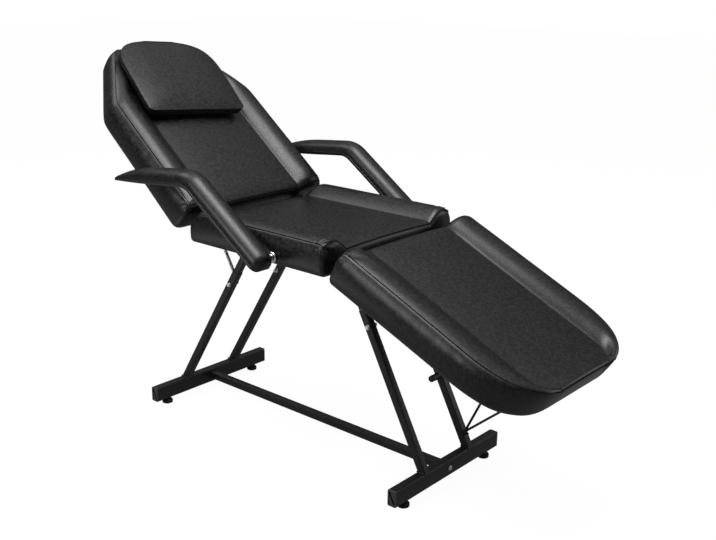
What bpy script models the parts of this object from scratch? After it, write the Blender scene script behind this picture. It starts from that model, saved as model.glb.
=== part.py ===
"""Three section reclining treatment chair: seat on a steel leg frame, tilting back, dropping leg rest."""

import math

import bmesh
import bpy
from mathutils import Matrix, Vector

# Sizes in metres and angles in degrees. X runs to the foot end, Y to the far side, Z up.
BASE_X = -0.0491  # middle of the base, measured from the middle of the whole chair
GAP = 0.0003  # play left between touching pieces

# Base frame
FOOT_R = 0.018
FOOT_H = 0.020
FOOT_IN = 0.050  # from the beam's end to the foot's middle
BEAM_X = 0.517
BEAM_LEN = 0.500
BEAM_W = 0.030
BEAM_H = 0.050
BEAM_EDGE = 0.0025
TUBE_EDGE = 0.002
PLUG_T = 0.004
PLUG_EDGE = 0.0015
STRETCHER_W = 0.025
STRETCHER_BOLT_R = 0.008
STRETCHER_BOLT_T = 0.005
LEG_W = 0.025
LEG_Y = 0.1085
REAR_LEG_TOP_X = -0.1635
FRONT_LEG_TOP_X = 0.2135
STUB_W = 0.022
STUB_LEN = 0.132
LEG_BOLT_DROP = 0.048
LEG_BOLT_R = 0.004
LEG_BOLT_HEAD_R = 0.0075
LEG_BOLT_HEAD_T = 0.0055
CAP_NUT_LEN = 0.0145
KNOB_R = 0.010
KNOB_LEN = 0.038
KNOB_Z = 0.272

# Seat
SEAT_Z = 0.640
SEAT_REAR_X = -0.256
SEAT_FRONT_X = 0.2945
HALF_W = 0.289
SEAT_SEAM = 0.089
BOARD_T = 0.040
BOARD_INSET = 0.0015
RAIL_W = 0.030
RAIL_H = 0.030
RAIL_REAR_X = -0.235
RAIL_FRONT_X = 0.275

# Upholstery form
PANEL_HALF = 0.190
SEAT_ROLL = 0.013
BACK_ROLL = 0.017
LEG_ROLL = 0.008
ROLL_CREST = 0.76
PANEL_DROP = 0.015
PANEL_CROWN = 0.007
SIDE_BULGE = 0.003
SIDE_DRAW = 0.0015
NOSE_R = 0.012
LEG_NOSE_R = 0.022
SEAT_REAR_NOSE_R = 0.045
BACK_NOSE_R = 0.030
CORNER_R = 0.012

# Back section
BACK_DEG = 38.4
BACK_AXIS_BEHIND = 0.010
BACK_AXIS_UP = 0.0635
BACK_SEAM = 0.0459
BACK_THICK = 0.1144
BACK_THIN = 0.0305  # thickness lost per metre towards the head
BACK_START = 0.010
BACK_END = 0.706
BACK_TAPER_START = 0.466
BACK_TAPER = 0.60
BACK_TOP_R = 0.025
EAR_Y = 0.202
EAR_T = 0.005
EAR_R = 0.0075
EAR_DROP = 0.055
PIN_R = 0.004

# Leg section
LEG_DEG = 24.4
LEG_AXIS_AHEAD = 0.0035
LEG_AXIS_DOWN = 0.014
LEG_UNDER = 0.0091
LEG_THICK = 0.1092
LEG_THIN = 0.0225  # thickness lost per metre towards the foot
LEG_START = 0.0061
LEG_END = 0.6620
LEG_LEAN = 0.018  # how far the end face slopes in under its seam
LEG_TAPER_START = 0.4960
LEG_TAPER = 0.28
LEG_TIP_R = 0.115
LEG_STRAP_LEN = 0.065

# Head pillow
PILLOW_START = 0.371
PILLOW_LEN = 0.318
PILLOW_HALF = 0.190
PILLOW_T = 0.058

# Arm rests
ARM_X = 0.104
ARM_UP = 0.026
ARM_OUT = 0.061  # from the seat's side to the middle of the arm rest
ARM_W = 0.060
ARM_T = 0.043
ARM_CORE_T = 0.009
ARM_RISE_DEG = 5.4
ARM_SLOPE_DEG = 35.0
ARM_FORE = 0.350
ARM_SLOPE_LEN = 0.330
ARM_OVER = 0.009  # how far the bar's middle runs above its pivot
ARM_END = 0.023
ARM_BEND_R = 0.055
ARM_DROOP = 0.003
SPACER_R = 0.014

# Wire stays and their catches
WIRE_R = 0.003
WIRE_STEP = 0.0065
SHOE_R = 0.005
SHOE_LEN = 0.013
PEG_R = 0.003
PEG_LEN = 0.014
TRACK_W = 0.016
TRACK_T = 0.006
SLIDER_T = 0.005
SLIDER_OVER = 0.012
FRONT_STAY_Y = 0.1035
FRONT_SHOE_Z = 0.119
FRONT_PROP_DEG = 64.8
FRONT_BRACE_DEG = 40.6
REAR_STAY_Y = -0.0842
REAR_SHOE_X = -0.2842
REAR_SHOE_Z = 0.4783
REAR_PROP_DEG = 120.6
REAR_PEG_DEG = -37.2  # where the peg lies, seen from the shoe
REAR_TRACK_END = 0.320

# Values that follow from the sizes above
BEAM_TOP = FOOT_H + BEAM_H
RAIL_TOP = SEAT_Z - GAP
RAIL_BOTTOM = RAIL_TOP - RAIL_H
STUB_Z = SEAT_Z - STUB_LEN
BACK_AXIS_X = SEAT_REAR_X - BACK_AXIS_BEHIND
BACK_AXIS_Z = SEAT_Z + BACK_AXIS_UP
LEG_AXIS_X = SEAT_FRONT_X + LEG_AXIS_AHEAD
LEG_AXIS_Z = SEAT_Z - LEG_AXIS_DOWN
BACK_UNDER = BACK_SEAM - BACK_THICK
FOOT_Y = BEAM_LEN / 2.0 - FOOT_IN
ARM_Y = HALF_W + ARM_OUT

for old in list(bpy.data.objects):
    bpy.data.objects.remove(old, do_unlink=True)


def material(name, colour, roughness, metallic):
    """A plain surface in one colour."""
    made = bpy.data.materials.new(name)
    made.use_nodes = True
    shader = made.node_tree.nodes["Principled BSDF"]
    shader.inputs["Base Color"].default_value = (*colour, 1.0)
    shader.inputs["Roughness"].default_value = roughness
    shader.inputs["Metallic"].default_value = metallic
    made.diffuse_color = (*colour, 1.0)
    return made


LEATHER = ("upholstery", (0.022, 0.022, 0.023), 0.42, 0.0)
STEEL_BLACK = ("black_steel", (0.018, 0.018, 0.019), 0.38, 0.0)
PLASTIC_GREY = ("end_plug", (0.09, 0.09, 0.095), 0.55, 0.0)
RUBBER = ("rubber", (0.02, 0.02, 0.02), 0.8, 0.0)
ZINC = ("zinc", (0.62, 0.62, 0.63), 0.3, 1.0)
CHROME = ("chrome", (0.8, 0.8, 0.82), 0.12, 1.0)
WOOD = ("board", (0.05, 0.048, 0.046), 0.85, 0.0)


def empty(name, parent, location, rotation=(0.0, 0.0, 0.0)):
    """A named axis or frame that pieces hang from."""
    made = bpy.data.objects.new(name, None)
    bpy.context.scene.collection.objects.link(made)
    made.empty_display_size = 0.05
    made.parent = parent
    made.location = location
    made.rotation_euler = rotation
    return made


def place(name, bm, parent, look, location=(0.0, 0.0, 0.0), rotation=(0.0, 0.0, 0.0), smooth=False):
    """Turns a bmesh into a named object with its own material."""
    bmesh.ops.recalc_face_normals(bm, faces=bm.faces)
    mesh = bpy.data.meshes.new(name)
    bm.to_mesh(mesh)
    bm.free()
    if smooth:
        mesh.shade_smooth()
        mesh.set_sharp_from_angle(angle=math.radians(35.0))
    mesh.materials.append(material(name + "_" + look[0], *look[1:]))
    made = bpy.data.objects.new(name, mesh)
    bpy.context.scene.collection.objects.link(made)
    made.parent = parent
    made.location = location
    made.rotation_euler = rotation
    return made


def combine(target, tool, how):
    """Joins a hidden tool shape to an object or cuts it out."""
    tool.hide_render = True
    tool.display_type = "WIRE"
    change = target.modifiers.new(how.lower(), "BOOLEAN")
    change.operation = how
    change.solver = "EXACT"
    change.object = tool


def box_mesh(size, bevel=0.0):
    """A block about its own middle, with its edges broken."""
    bm = bmesh.new()
    bmesh.ops.create_cube(bm, size=1.0)
    bmesh.ops.scale(bm, vec=Vector(size), verts=bm.verts)
    if bevel > 0.0:
        bmesh.ops.bevel(bm, geom=bm.edges[:], offset=bevel, segments=1, profile=0.5, affect="EDGES")
    return bm


def box(name, parent, look, size, centre, bevel=0.0):
    return place(name, box_mesh(size, bevel), parent, look, centre)


def drum(name, parent, look, radius, low_y, high_y, x, z, segments=16, bevel=0.0):
    """A cylinder lying along Y between two Y values."""
    bm = bmesh.new()
    bmesh.ops.create_cone(
        bm, cap_ends=True, segments=segments, radius1=radius, radius2=radius, depth=abs(high_y - low_y)
    )
    if bevel > 0.0:
        rims = [e for e in bm.edges if abs(e.verts[0].co.z - e.verts[1].co.z) < 1e-6]
        bmesh.ops.bevel(bm, geom=rims, offset=bevel, segments=1, profile=0.5, affect="EDGES")
    middle = (x, (low_y + high_y) / 2.0, z)
    return place(name, bm, parent, look, middle, (math.radians(90.0), 0.0, 0.0), True)


def turned(name, parent, look, outline, location, rotation, segments=16):
    """A solid of revolution about its own Z from radius and height pairs that start and end on the axis."""
    bm = bmesh.new()
    verts = [bm.verts.new((r, 0.0, h)) for r, h in outline]
    edges = [bm.edges.new((a, b)) for a, b in zip(verts, verts[1:])]
    bmesh.ops.spin(
        bm,
        geom=verts + edges,
        axis=(0.0, 0.0, 1.0),
        cent=(0.0, 0.0, 0.0),
        angle=2.0 * math.pi,
        steps=segments,
        use_merge=True,
    )
    bmesh.ops.remove_doubles(bm, verts=bm.verts, dist=1e-6)
    return place(name, bm, parent, look, location, rotation, True)


def loft(rings):
    """Skins a row of closed rings of equal length and closes both ends."""
    bm = bmesh.new()
    rows = [[bm.verts.new(p) for p in ring] for ring in rings]
    count = len(rows[0])
    for low, high in zip(rows, rows[1:]):
        for i in range(count):
            j = (i + 1) % count
            bm.faces.new((low[i], low[j], high[j], high[i]))
    bm.faces.new(rows[0])
    bm.faces.new(rows[-1])
    return bm


def post(name, parent, look, foot, head, width, flat_foot, flat_head, bevel):
    """A square tube between two points of the XZ plane, its ends cut level or square to it."""
    run = Vector((head[0] - foot[0], 0.0, head[2] - foot[2]))
    length = run.length
    along = run / length
    across = Vector((along.z, 0.0, -along.x))
    rings = []
    for end, flat in ((0.0, flat_foot), (length, flat_head)):
        ring = []
        for a, b in ((-1, -1), (1, -1), (1, 1), (-1, 1)):
            side = a * width / 2.0
            lift = end - side * across.z / along.z if flat else end
            ring.append(Vector((side, b * width / 2.0, lift)))
        rings.append(ring)
    bm = loft(rings)
    bmesh.ops.recalc_face_normals(bm, faces=bm.faces)
    long_edges = [e for e in bm.edges if abs(e.verts[0].co.z - e.verts[1].co.z) > length / 2.0]
    bmesh.ops.bevel(bm, geom=long_edges, offset=bevel, segments=1, profile=0.5, affect="EDGES")
    return place(name, bm, parent, look, foot, (0.0, math.atan2(along.x, along.z), 0.0))


def wire(name, parent, look, start, degrees, skip, end_z, y, segments=10):
    """A round rod in an XZ plane, square where it starts and cut level at a height."""
    turn = math.radians(degrees)
    along = Vector((math.cos(turn), 0.0, math.sin(turn)))
    across = Vector((along.z, 0.0, -along.x))
    reach = (end_z - start[1]) / along.z
    rings = []
    for level in (False, True):
        ring = []
        for k in range(segments):
            angle = 2.0 * math.pi * k / segments
            side = WIRE_R * math.cos(angle)
            lift = reach - side * across.z / along.z if level else skip
            ring.append(Vector((side, WIRE_R * math.sin(angle), lift)))
        rings.append(ring)
    spot = (start[0], y, start[1])
    return place(name, loft(rings), parent, look, spot, (0.0, math.atan2(along.x, along.z), 0.0), True)


def ease(t):
    """A smooth step from 0 to 1."""
    t = min(1.0, max(0.0, t))
    return t * t * (3.0 - 2.0 * t)


def corner_cut(distance, radius):
    """How far a rounded corner draws in at a distance from its end."""
    if distance >= radius:
        return 0.0
    inner = radius - max(0.0, distance)
    return radius - math.sqrt(max(0.0, radius * radius - inner * inner))


def stations(start, end, first_r, last_r, middle):
    """Places along a cushion, closer together over its rounded ends."""
    rows = [start + first_r * (1.0 - math.cos(math.radians(a))) for a in (0.0, 20.0, 40.0, 62.0)]
    low = start + first_r
    high = end - last_r
    rows += [low + (high - low) * i / middle for i in range(middle + 1)]
    rows += [end - last_r * (1.0 - math.cos(math.radians(a))) for a in (62.0, 40.0, 20.0, 0.0)]
    return rows


def half_width(s, start, end, first_r, last_r, taper_start, taper, straight):
    """Half the width of a section's plan at a place along it, its sides straight or drawn in."""
    share = min(1.0, max(0.0, (s - start) / (end - start)))
    draw = SIDE_DRAW if straight else SIDE_DRAW * math.sin(math.pi * share) ** 2
    line = HALF_W - taper * (s - taper_start)
    soft = 0.020
    wide = 0.5 * (HALF_W + line - math.sqrt((HALF_W - line) ** 2 + soft * soft)) if taper > 0.0 else HALF_W
    return wide - draw - corner_cut(s - start, first_r) - corner_cut(end - s, last_r)


def top_shape(y, half, roll):
    """Height of the cover over its seam: a low middle panel between two raised side rolls."""
    inner = min(PANEL_HALF, 0.72 * half)
    fade = ease((half - PANEL_HALF + 0.010) / 0.070)
    floor = -PANEL_DROP * (0.35 + 0.65 * fade)
    size = abs(y)
    if size <= inner:
        return floor + PANEL_CROWN * (1.0 - (size / inner) ** 2)
    q = (size - inner) / (half - inner)
    if q < ROLL_CREST:
        return floor + (roll * fade - floor) * ease(q / ROLL_CREST)
    t = (q - ROLL_CREST) / (1.0 - ROLL_CREST)
    return roll * fade * (1.0 - t * t)


def slip(s, end, lean, depth):
    """A place along a section, drawn back below the seam where its end face slopes in."""
    return s - lean * depth * ease((s - end + 0.12) / 0.12)


def cushion(name, parent, plan, rows, seam_z, bed_z, roll, nose_first, nose_last, lean=0.0, thick=1.0):
    """A boxed cushion: a shaped top between seams, drawn in sides and a flat bed."""
    start = rows[0]
    end = rows[-1]
    rings = []
    for s in rows:
        half = plan(s)
        inner = min(PANEL_HALF, 0.72 * half)
        fall = corner_cut(s - start, nose_first) + corner_cut(end - s, nose_last)
        right = [inner * i / 3.0 for i in range(4)]
        right += [inner + (half - inner) * q for q in (0.25, 0.5, ROLL_CREST, 0.9, 1.0)]
        across = [-y for y in reversed(right)] + right[1:]
        top = [Vector((s, y, seam_z + top_shape(y, half, roll) - fall)) for y in across]
        edge_z = seam_z - fall
        wall = []
        for f in (0.33, 0.7, 1.0):
            out = half + SIDE_BULGE * math.sin(math.pi * f) - 0.002 * f
            z = edge_z + (bed_z - edge_z) * f
            wall.append(Vector((slip(s, end, lean, (seam_z - z) / thick), out, z)))
        left = [Vector((p.x, -p.y, p.z)) for p in reversed(wall)]
        rings.append(left + top + wall)
    return place(name, loft(rings), parent, LEATHER, smooth=True)


def board(name, parent, plan, rows, start, end, low_z, high_z, thin=0.0, lean=0.0, seam_z=0.0, thick=1.0):
    """A panel with the outline of its cushion, set in a little, its underside rising towards the end."""
    kept = [s for s in rows if start + 0.002 < s < end - 0.002]
    rings = []
    for s in [start] + kept + [end]:
        half = plan(s, True) - BOARD_INSET
        low = low_z + thin * s
        corners = ((-half, low), (half, low), (half, high_z), (-half, high_z))
        rings.append([Vector((slip(s, end, lean, (seam_z - z) / thick), y, z)) for y, z in corners])
    return place(name, loft(rings), parent, WOOD)


root = empty("chair_frame", None, (BASE_X, 0.0, 0.0))

# Base beams with their feet, end plugs and the long stretcher
for label, side in (("rear", -1.0), ("front", 1.0)):
    x = side * BEAM_X
    middle_z = FOOT_H + BEAM_H / 2.0
    box("beam_" + label, root, STEEL_BLACK, (BEAM_W, BEAM_LEN, BEAM_H), (x, 0.0, middle_z), BEAM_EDGE)
    for hand, y_side in (("near", -1.0), ("far", 1.0)):
        plug_y = y_side * (BEAM_LEN / 2.0 + GAP + PLUG_T / 2.0)
        size = (BEAM_W, PLUG_T, BEAM_H)
        box("plug_" + label + "_" + hand, root, PLASTIC_GREY, size, (x, plug_y, middle_z), PLUG_EDGE)
        foot_outline = [
            (0.0, 0.0),
            (FOOT_R * 0.88, 0.0),
            (FOOT_R, FOOT_H * 0.15),
            (FOOT_R, FOOT_H * 0.55),
            (FOOT_R * 0.62, FOOT_H * 0.70),
            (FOOT_R * 0.62, FOOT_H - GAP),
            (0.0, FOOT_H - GAP),
        ]
        spot = (x, y_side * FOOT_Y, 0.0)
        turned("foot_" + label + "_" + hand, root, RUBBER, foot_outline, spot, (0.0, 0.0, 0.0), 20)

stretcher_len = 2.0 * (BEAM_X - BEAM_W / 2.0 - GAP)
stretcher_z = FOOT_H + BEAM_H / 2.0
size = (stretcher_len, STRETCHER_W, STRETCHER_W)
box("stretcher", root, STEEL_BLACK, size, (0.0, 0.0, stretcher_z), TUBE_EDGE)
for label, side in (("rear", -1.0), ("front", 1.0)):
    head = [
        (0.0, 0.0),
        (STRETCHER_BOLT_R, 0.0),
        (STRETCHER_BOLT_R, STRETCHER_BOLT_T * 0.6),
        (STRETCHER_BOLT_R * 0.7, STRETCHER_BOLT_T),
        (0.0, STRETCHER_BOLT_T),
    ]
    spot = (side * (BEAM_X + BEAM_W / 2.0 + GAP), 0.0, stretcher_z)
    turned("stretcher_bolt_" + label, root, ZINC, head, spot, (0.0, side * math.pi / 2.0, 0.0), 16)


def leg_x(label, z):
    """X of a leg's middle at a height."""
    top = REAR_LEG_TOP_X if label == "rear" else FRONT_LEG_TOP_X
    low = -BEAM_X if label == "rear" else BEAM_X
    return low + (top - low) * (z - BEAM_TOP) / (SEAT_Z - BEAM_TOP)


# Four legs, each bolted round a narrower stub that comes down from the seat
for label in ("rear", "front"):
    for hand, y_side in (("near", -1.0), ("far", 1.0)):
        y = y_side * LEG_Y
        low = Vector((leg_x(label, BEAM_TOP + GAP), y, BEAM_TOP + GAP))
        mid = Vector((leg_x(label, STUB_Z), y, STUB_Z))
        top_z = RAIL_BOTTOM - GAP
        top = Vector((leg_x(label, top_z), y, top_z))
        along = (top - low).normalized()
        tag = label + "_" + hand
        tube = post("leg_" + tag, root, STEEL_BLACK, low, mid - along * GAP, LEG_W, True, False, TUBE_EDGE)
        post("stub_" + tag, root, STEEL_BLACK, mid, top, STUB_W, False, True, TUBE_EDGE)
        bolt_z = STUB_Z - LEG_BOLT_DROP
        bolt_x = leg_x(label, bolt_z)
        hole = drum("bolt_hole_" + tag, root, ZINC, LEG_BOLT_R + GAP, y - 0.05, y + 0.05, bolt_x, bolt_z, 12)
        combine(tube, hole, "DIFFERENCE")
        half = LEG_W / 2.0 + GAP
        bolt = [
            (0.0, -half - LEG_BOLT_HEAD_T),
            (LEG_BOLT_HEAD_R * 0.75, -half - LEG_BOLT_HEAD_T),
            (LEG_BOLT_HEAD_R, -half - LEG_BOLT_HEAD_T * 0.55),
            (LEG_BOLT_HEAD_R, -half),
            (LEG_BOLT_R, -half),
            (LEG_BOLT_R, half),
            (LEG_BOLT_HEAD_R, half),
            (LEG_BOLT_HEAD_R, half + CAP_NUT_LEN * 0.48),
            (LEG_BOLT_HEAD_R * 0.78, half + CAP_NUT_LEN * 0.58),
            (LEG_BOLT_HEAD_R * 0.66, half + CAP_NUT_LEN * 0.82),
            (LEG_BOLT_HEAD_R * 0.30, half + CAP_NUT_LEN),
            (0.0, half + CAP_NUT_LEN),
        ]
        turn = (y_side * math.radians(90.0), 0.0, 0.0)
        turned("leg_bolt_" + tag, root, ZINC, bolt, (bolt_x, y, bolt_z), turn, 12)

knob_low = LEG_Y - LEG_W / 2.0 - GAP
drum("leg_knob", root, STEEL_BLACK, KNOB_R, knob_low - KNOB_LEN, knob_low, leg_x("front", KNOB_Z), KNOB_Z, 16, 0.002)

# Rails, board and cushion of the fixed seat
rail_len = RAIL_FRONT_X - RAIL_REAR_X
rail_mid = (RAIL_FRONT_X + RAIL_REAR_X) / 2.0
for hand, y_side in (("near", -1.0), ("far", 1.0)):
    spot = (rail_mid, y_side * LEG_Y, RAIL_TOP - RAIL_H / 2.0)
    box("seat_rail_" + hand, root, STEEL_BLACK, (rail_len, RAIL_W, RAIL_H), spot, TUBE_EDGE)


def seat_plan(s, straight=False):
    return half_width(s, SEAT_REAR_X, SEAT_FRONT_X, CORNER_R, CORNER_R, 0.0, 0.0, straight)


seat_rows = stations(SEAT_REAR_X, SEAT_FRONT_X, SEAT_REAR_NOSE_R, CORNER_R, 6)
seat_seam_z = SEAT_Z + SEAT_SEAM
seat_bed_z = SEAT_Z + BOARD_T + GAP
cushion("seat_cushion", root, seat_plan, seat_rows, seat_seam_z, seat_bed_z, SEAT_ROLL, SEAT_REAR_NOSE_R, NOSE_R)
seat_board_rows = stations(SEAT_REAR_X, SEAT_FRONT_X, CORNER_R, CORNER_R, 2)
seat_board_start = SEAT_REAR_X - BACK_AXIS_BEHIND + EAR_R + GAP
seat_board_end = SEAT_FRONT_X - 0.002
board(
    "seat_board", root, seat_plan, seat_board_rows, seat_board_start, seat_board_end, SEAT_Z, SEAT_Z + BOARD_T
)

# Back section: local X runs up the back, local Z out of its face
back = empty("back_axis", root, (BACK_AXIS_X, 0.0, BACK_AXIS_Z), (0.0, -math.radians(BACK_DEG), math.pi))


def back_plan(s, straight=False):
    return half_width(s, BACK_START, BACK_END, CORNER_R, BACK_TOP_R, BACK_TAPER_START, BACK_TAPER, straight)


back_rows = stations(BACK_START, BACK_END, BACK_NOSE_R, BACK_TOP_R, 9)
back_bed = BACK_UNDER + BOARD_T + GAP
cushion("back_cushion", back, back_plan, back_rows, BACK_SEAM, back_bed, BACK_ROLL, BACK_NOSE_R, NOSE_R)
back_board_start = EAR_R + GAP
back_board_end = BACK_END - BOARD_INSET
back_board_top = BACK_UNDER + BOARD_T
board(
    "back_board",
    back,
    back_plan,
    back_rows,
    back_board_start,
    back_board_end,
    BACK_UNDER,
    back_board_top,
    BACK_THIN,
)

# Hinge ears in the slot between seat and back
for hand, y_side in (("near", -1.0), ("far", 1.0)):
    foot_z = SEAT_Z + 0.005
    outer = y_side * (EAR_Y + EAR_T)
    inner = y_side * EAR_Y
    ear = box(
        "back_ear_" + hand,
        root,
        STEEL_BLACK,
        (2.0 * EAR_R, EAR_T, BACK_AXIS_Z - foot_z),
        (BACK_AXIS_X, (outer + inner) / 2.0, (BACK_AXIS_Z + foot_z) / 2.0),
    )
    low_y, high_y = sorted((inner, outer))
    eye = drum("back_ear_eye_" + hand, root, STEEL_BLACK, EAR_R, low_y, high_y, BACK_AXIS_X, BACK_AXIS_Z, 20)
    combine(ear, eye, "UNION")
    pin_y = sorted((outer - y_side * 0.002, inner - y_side * (EAR_T + 0.003)))
    pin = drum("back_ear_pin_" + hand, root, ZINC, PIN_R, pin_y[0], pin_y[1], BACK_AXIS_X, BACK_AXIS_Z, 16)
    combine(ear, pin, "UNION")

    # The moving half sits beside the fixed one; local Y points the other way
    near = -y_side * (EAR_Y - 0.0005)
    far = -y_side * (EAR_Y - 0.0005 - EAR_T)
    strap = box(
        "back_hinge_" + hand,
        back,
        STEEL_BLACK,
        (2.0 * EAR_R, EAR_T, EAR_DROP),
        (0.0, (near + far) / 2.0, -EAR_DROP / 2.0),
    )
    low_y, high_y = sorted((near, far))
    strap_eye = drum("back_hinge_eye_" + hand, back, STEEL_BLACK, EAR_R, low_y, high_y, 0.0, 0.0, 20)
    combine(strap, strap_eye, "UNION")
    bore = drum("back_hinge_bore_" + hand, back, ZINC, PIN_R + GAP, low_y - 0.02, high_y + 0.02, 0.0, 0.0, 16)
    combine(strap, bore, "DIFFERENCE")

# Leg section: local X runs down the leg rest, local Z out of its face
leg = empty("leg_axis", root, (LEG_AXIS_X, 0.0, LEG_AXIS_Z), (0.0, math.radians(LEG_DEG), 0.0))


def leg_plan(s, straight=False):
    return half_width(s, LEG_START, LEG_END, CORNER_R, LEG_TIP_R, LEG_TAPER_START, LEG_TAPER, straight)


leg_rows = stations(LEG_START, LEG_END, CORNER_R, LEG_TIP_R, 7)
leg_bed = LEG_UNDER + BOARD_T + GAP
leg_seam_z = LEG_UNDER + LEG_THICK
cushion(
    "leg_cushion",
    leg,
    leg_plan,
    leg_rows,
    leg_seam_z,
    leg_bed,
    LEG_ROLL,
    LEG_NOSE_R,
    NOSE_R,
    LEG_LEAN,
    LEG_THICK,
)
leg_board_end = LEG_END - BOARD_INSET
board(
    "leg_board",
    leg,
    leg_plan,
    leg_rows,
    LEG_START,
    leg_board_end,
    LEG_UNDER,
    LEG_UNDER + BOARD_T,
    LEG_THIN,
    LEG_LEAN,
    leg_seam_z,
    LEG_THICK,
)

# Hinge ears under the seat's front edge
leg_ear_r = EAR_R
for hand, y_side in (("near", -1.0), ("far", 1.0)):
    inner = y_side * (LEG_Y + RAIL_W / 2.0 + GAP)
    outer = inner + y_side * EAR_T
    low_y, high_y = sorted((inner, outer))
    back_x = RAIL_FRONT_X - 0.035
    ear = box(
        "leg_ear_" + hand,
        root,
        STEEL_BLACK,
        (LEG_AXIS_X - back_x, EAR_T, 2.0 * leg_ear_r),
        ((LEG_AXIS_X + back_x) / 2.0, (inner + outer) / 2.0, LEG_AXIS_Z),
    )
    eye = drum("leg_ear_eye_" + hand, root, STEEL_BLACK, leg_ear_r, low_y, high_y, LEG_AXIS_X, LEG_AXIS_Z, 20)
    combine(ear, eye, "UNION")
    pin_y = sorted((inner + y_side * 0.002, outer + y_side * (EAR_T + 0.003)))
    pin = drum("leg_ear_pin_" + hand, root, ZINC, PIN_R, pin_y[0], pin_y[1], LEG_AXIS_X, LEG_AXIS_Z, 16)
    combine(ear, pin, "UNION")

    near = outer + y_side * 0.0005
    far = near + y_side * EAR_T
    top = LEG_UNDER - GAP
    strap = box(
        "leg_hinge_" + hand,
        leg,
        STEEL_BLACK,
        (LEG_STRAP_LEN, EAR_T, 2.0 * leg_ear_r),
        (LEG_STRAP_LEN / 2.0, (near + far) / 2.0, 0.0),
    )
    low_y, high_y = sorted((near, far))
    strap_eye = drum("leg_hinge_eye_" + hand, leg, STEEL_BLACK, leg_ear_r, low_y, high_y, 0.0, 0.0, 20)
    combine(strap, strap_eye, "UNION")
    flange_y = near + y_side * 0.0125
    flange = box(
        "leg_hinge_flange_" + hand,
        leg,
        STEEL_BLACK,
        (LEG_STRAP_LEN - 0.016, 0.025, 0.006),
        ((LEG_STRAP_LEN + 0.016) / 2.0 + 0.001, flange_y, top - 0.003),
    )
    combine(strap, flange, "UNION")
    bore = drum("leg_hinge_bore_" + hand, leg, ZINC, PIN_R + GAP, low_y - 0.02, high_y + 0.02, 0.0, 0.0, 16)
    combine(strap, bore, "DIFFERENCE")

# Head pillow, a half moon with its straight edge down the back
def pillow_half(s):
    """Half the width of the pillow at a distance from its straight edge."""
    base = PILLOW_HALF - corner_cut(s, 0.015)
    rise = max(0.0, (s - 0.40 * PILLOW_LEN) / (0.60 * PILLOW_LEN))
    return base * math.sqrt(max(0.02, 1.0 - rise**3.5))


def pillow_height(s):
    """Thickness of the pillow along its middle line."""
    start = math.sqrt(max(0.0, 1.0 - (1.0 - min(1.0, s / 0.055)) ** 2))
    end = math.sqrt(max(0.0, 1.0 - (1.0 - min(1.0, (PILLOW_LEN - s) / 0.110)) ** 2))
    return PILLOW_T * (0.30 + 0.70 * start) * (0.28 + 0.72 * end)


pillow_rows = []
for i in range(15):
    pillow_rows.append(PILLOW_LEN * 0.5 * (1.0 - math.cos(math.pi * i / 14.0)))
pillow_lift = -PANEL_DROP
for s in pillow_rows:
    for t in (0.0, 0.2, 0.4, 0.6, 0.8, 1.0):
        under = top_shape(pillow_half(s) * t, back_plan(PILLOW_START + s), BACK_ROLL)
        pillow_lift = max(pillow_lift, under + GAP)
pillow = empty("pillow_axis", back, (PILLOW_START, 0.0, BACK_SEAM + pillow_lift))
pillow_rings = []
for s in pillow_rows:
    half = pillow_half(s)
    high = pillow_height(s)
    ring = [Vector((s, -half * 0.93, 0.0)), Vector((s, half * 0.93, 0.0)), Vector((s, half, high * 0.22))]
    for k in range(1, 12):
        t = 1.0 - k / 6.0
        ring.append(Vector((s, half * t * (1.0 - 0.03 * abs(t)), high * (0.60 + 0.40 * (1.0 - abs(t) ** 3.0)))))
    ring.append(Vector((s, -half, high * 0.22)))
    pillow_rings.append(ring)
place("pillow", loft(pillow_rings), pillow, LEATHER, smooth=True)

# Arm rests: a padded bar that rises from a pivot at the seat's side and bends to level
slope = math.radians(ARM_SLOPE_DEG)
rise = math.radians(ARM_RISE_DEG)
slope_dir = Vector((-math.cos(slope), 0.0, math.sin(slope)))
fore_dir = Vector((-math.cos(rise), 0.0, -math.sin(rise)))
over = Vector((math.sin(slope), 0.0, math.cos(slope))) * ARM_OVER


def arm_path():
    """Points from the lower end over the bend to the tip, each with its share of the full thickness."""
    turn = slope_dir.angle(fore_dir)
    cut = ARM_BEND_R * math.tan(turn / 2.0)
    spots = []
    for f in (0.0, 0.12, 0.3, 0.55, 1.0):
        shape = math.sqrt(max(0.0, 1.0 - (1.0 - f) ** 2))
        spots.append((slope_dir * (ARM_END * (f - 1.0)), 0.42 + 0.58 * shape))
    last = ARM_SLOPE_LEN - cut
    for i in range(1, 4):
        spots.append((slope_dir * (last * i / 3.0), 1.0))
    centre = slope_dir * last + slope_dir.cross(Vector((0.0, 1.0, 0.0))).normalized() * ARM_BEND_R
    side = slope_dir * last - centre
    steps = 5
    for i in range(1, steps + 1):
        spin = Matrix.Rotation(-turn * i / steps, 3, "Y")
        spots.append((centre + spin @ side, 1.0))
    level = ARM_FORE - cut
    start = spots[-1][0]
    for f in (0.25, 0.5, 0.72, 0.86, 0.95, 1.0):
        down = ARM_DROOP * max(0.0, (f - 0.5) / 0.5) ** 2
        thick = 1.0 - 0.72 * max(0.0, (f - 0.35) / 0.65) ** 2.2
        spots.append((start + fore_dir * (level * f) - Vector((0.0, 0.0, down)), thick))
    return [(spot + over, thick) for spot, thick in spots]


path = arm_path()


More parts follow.
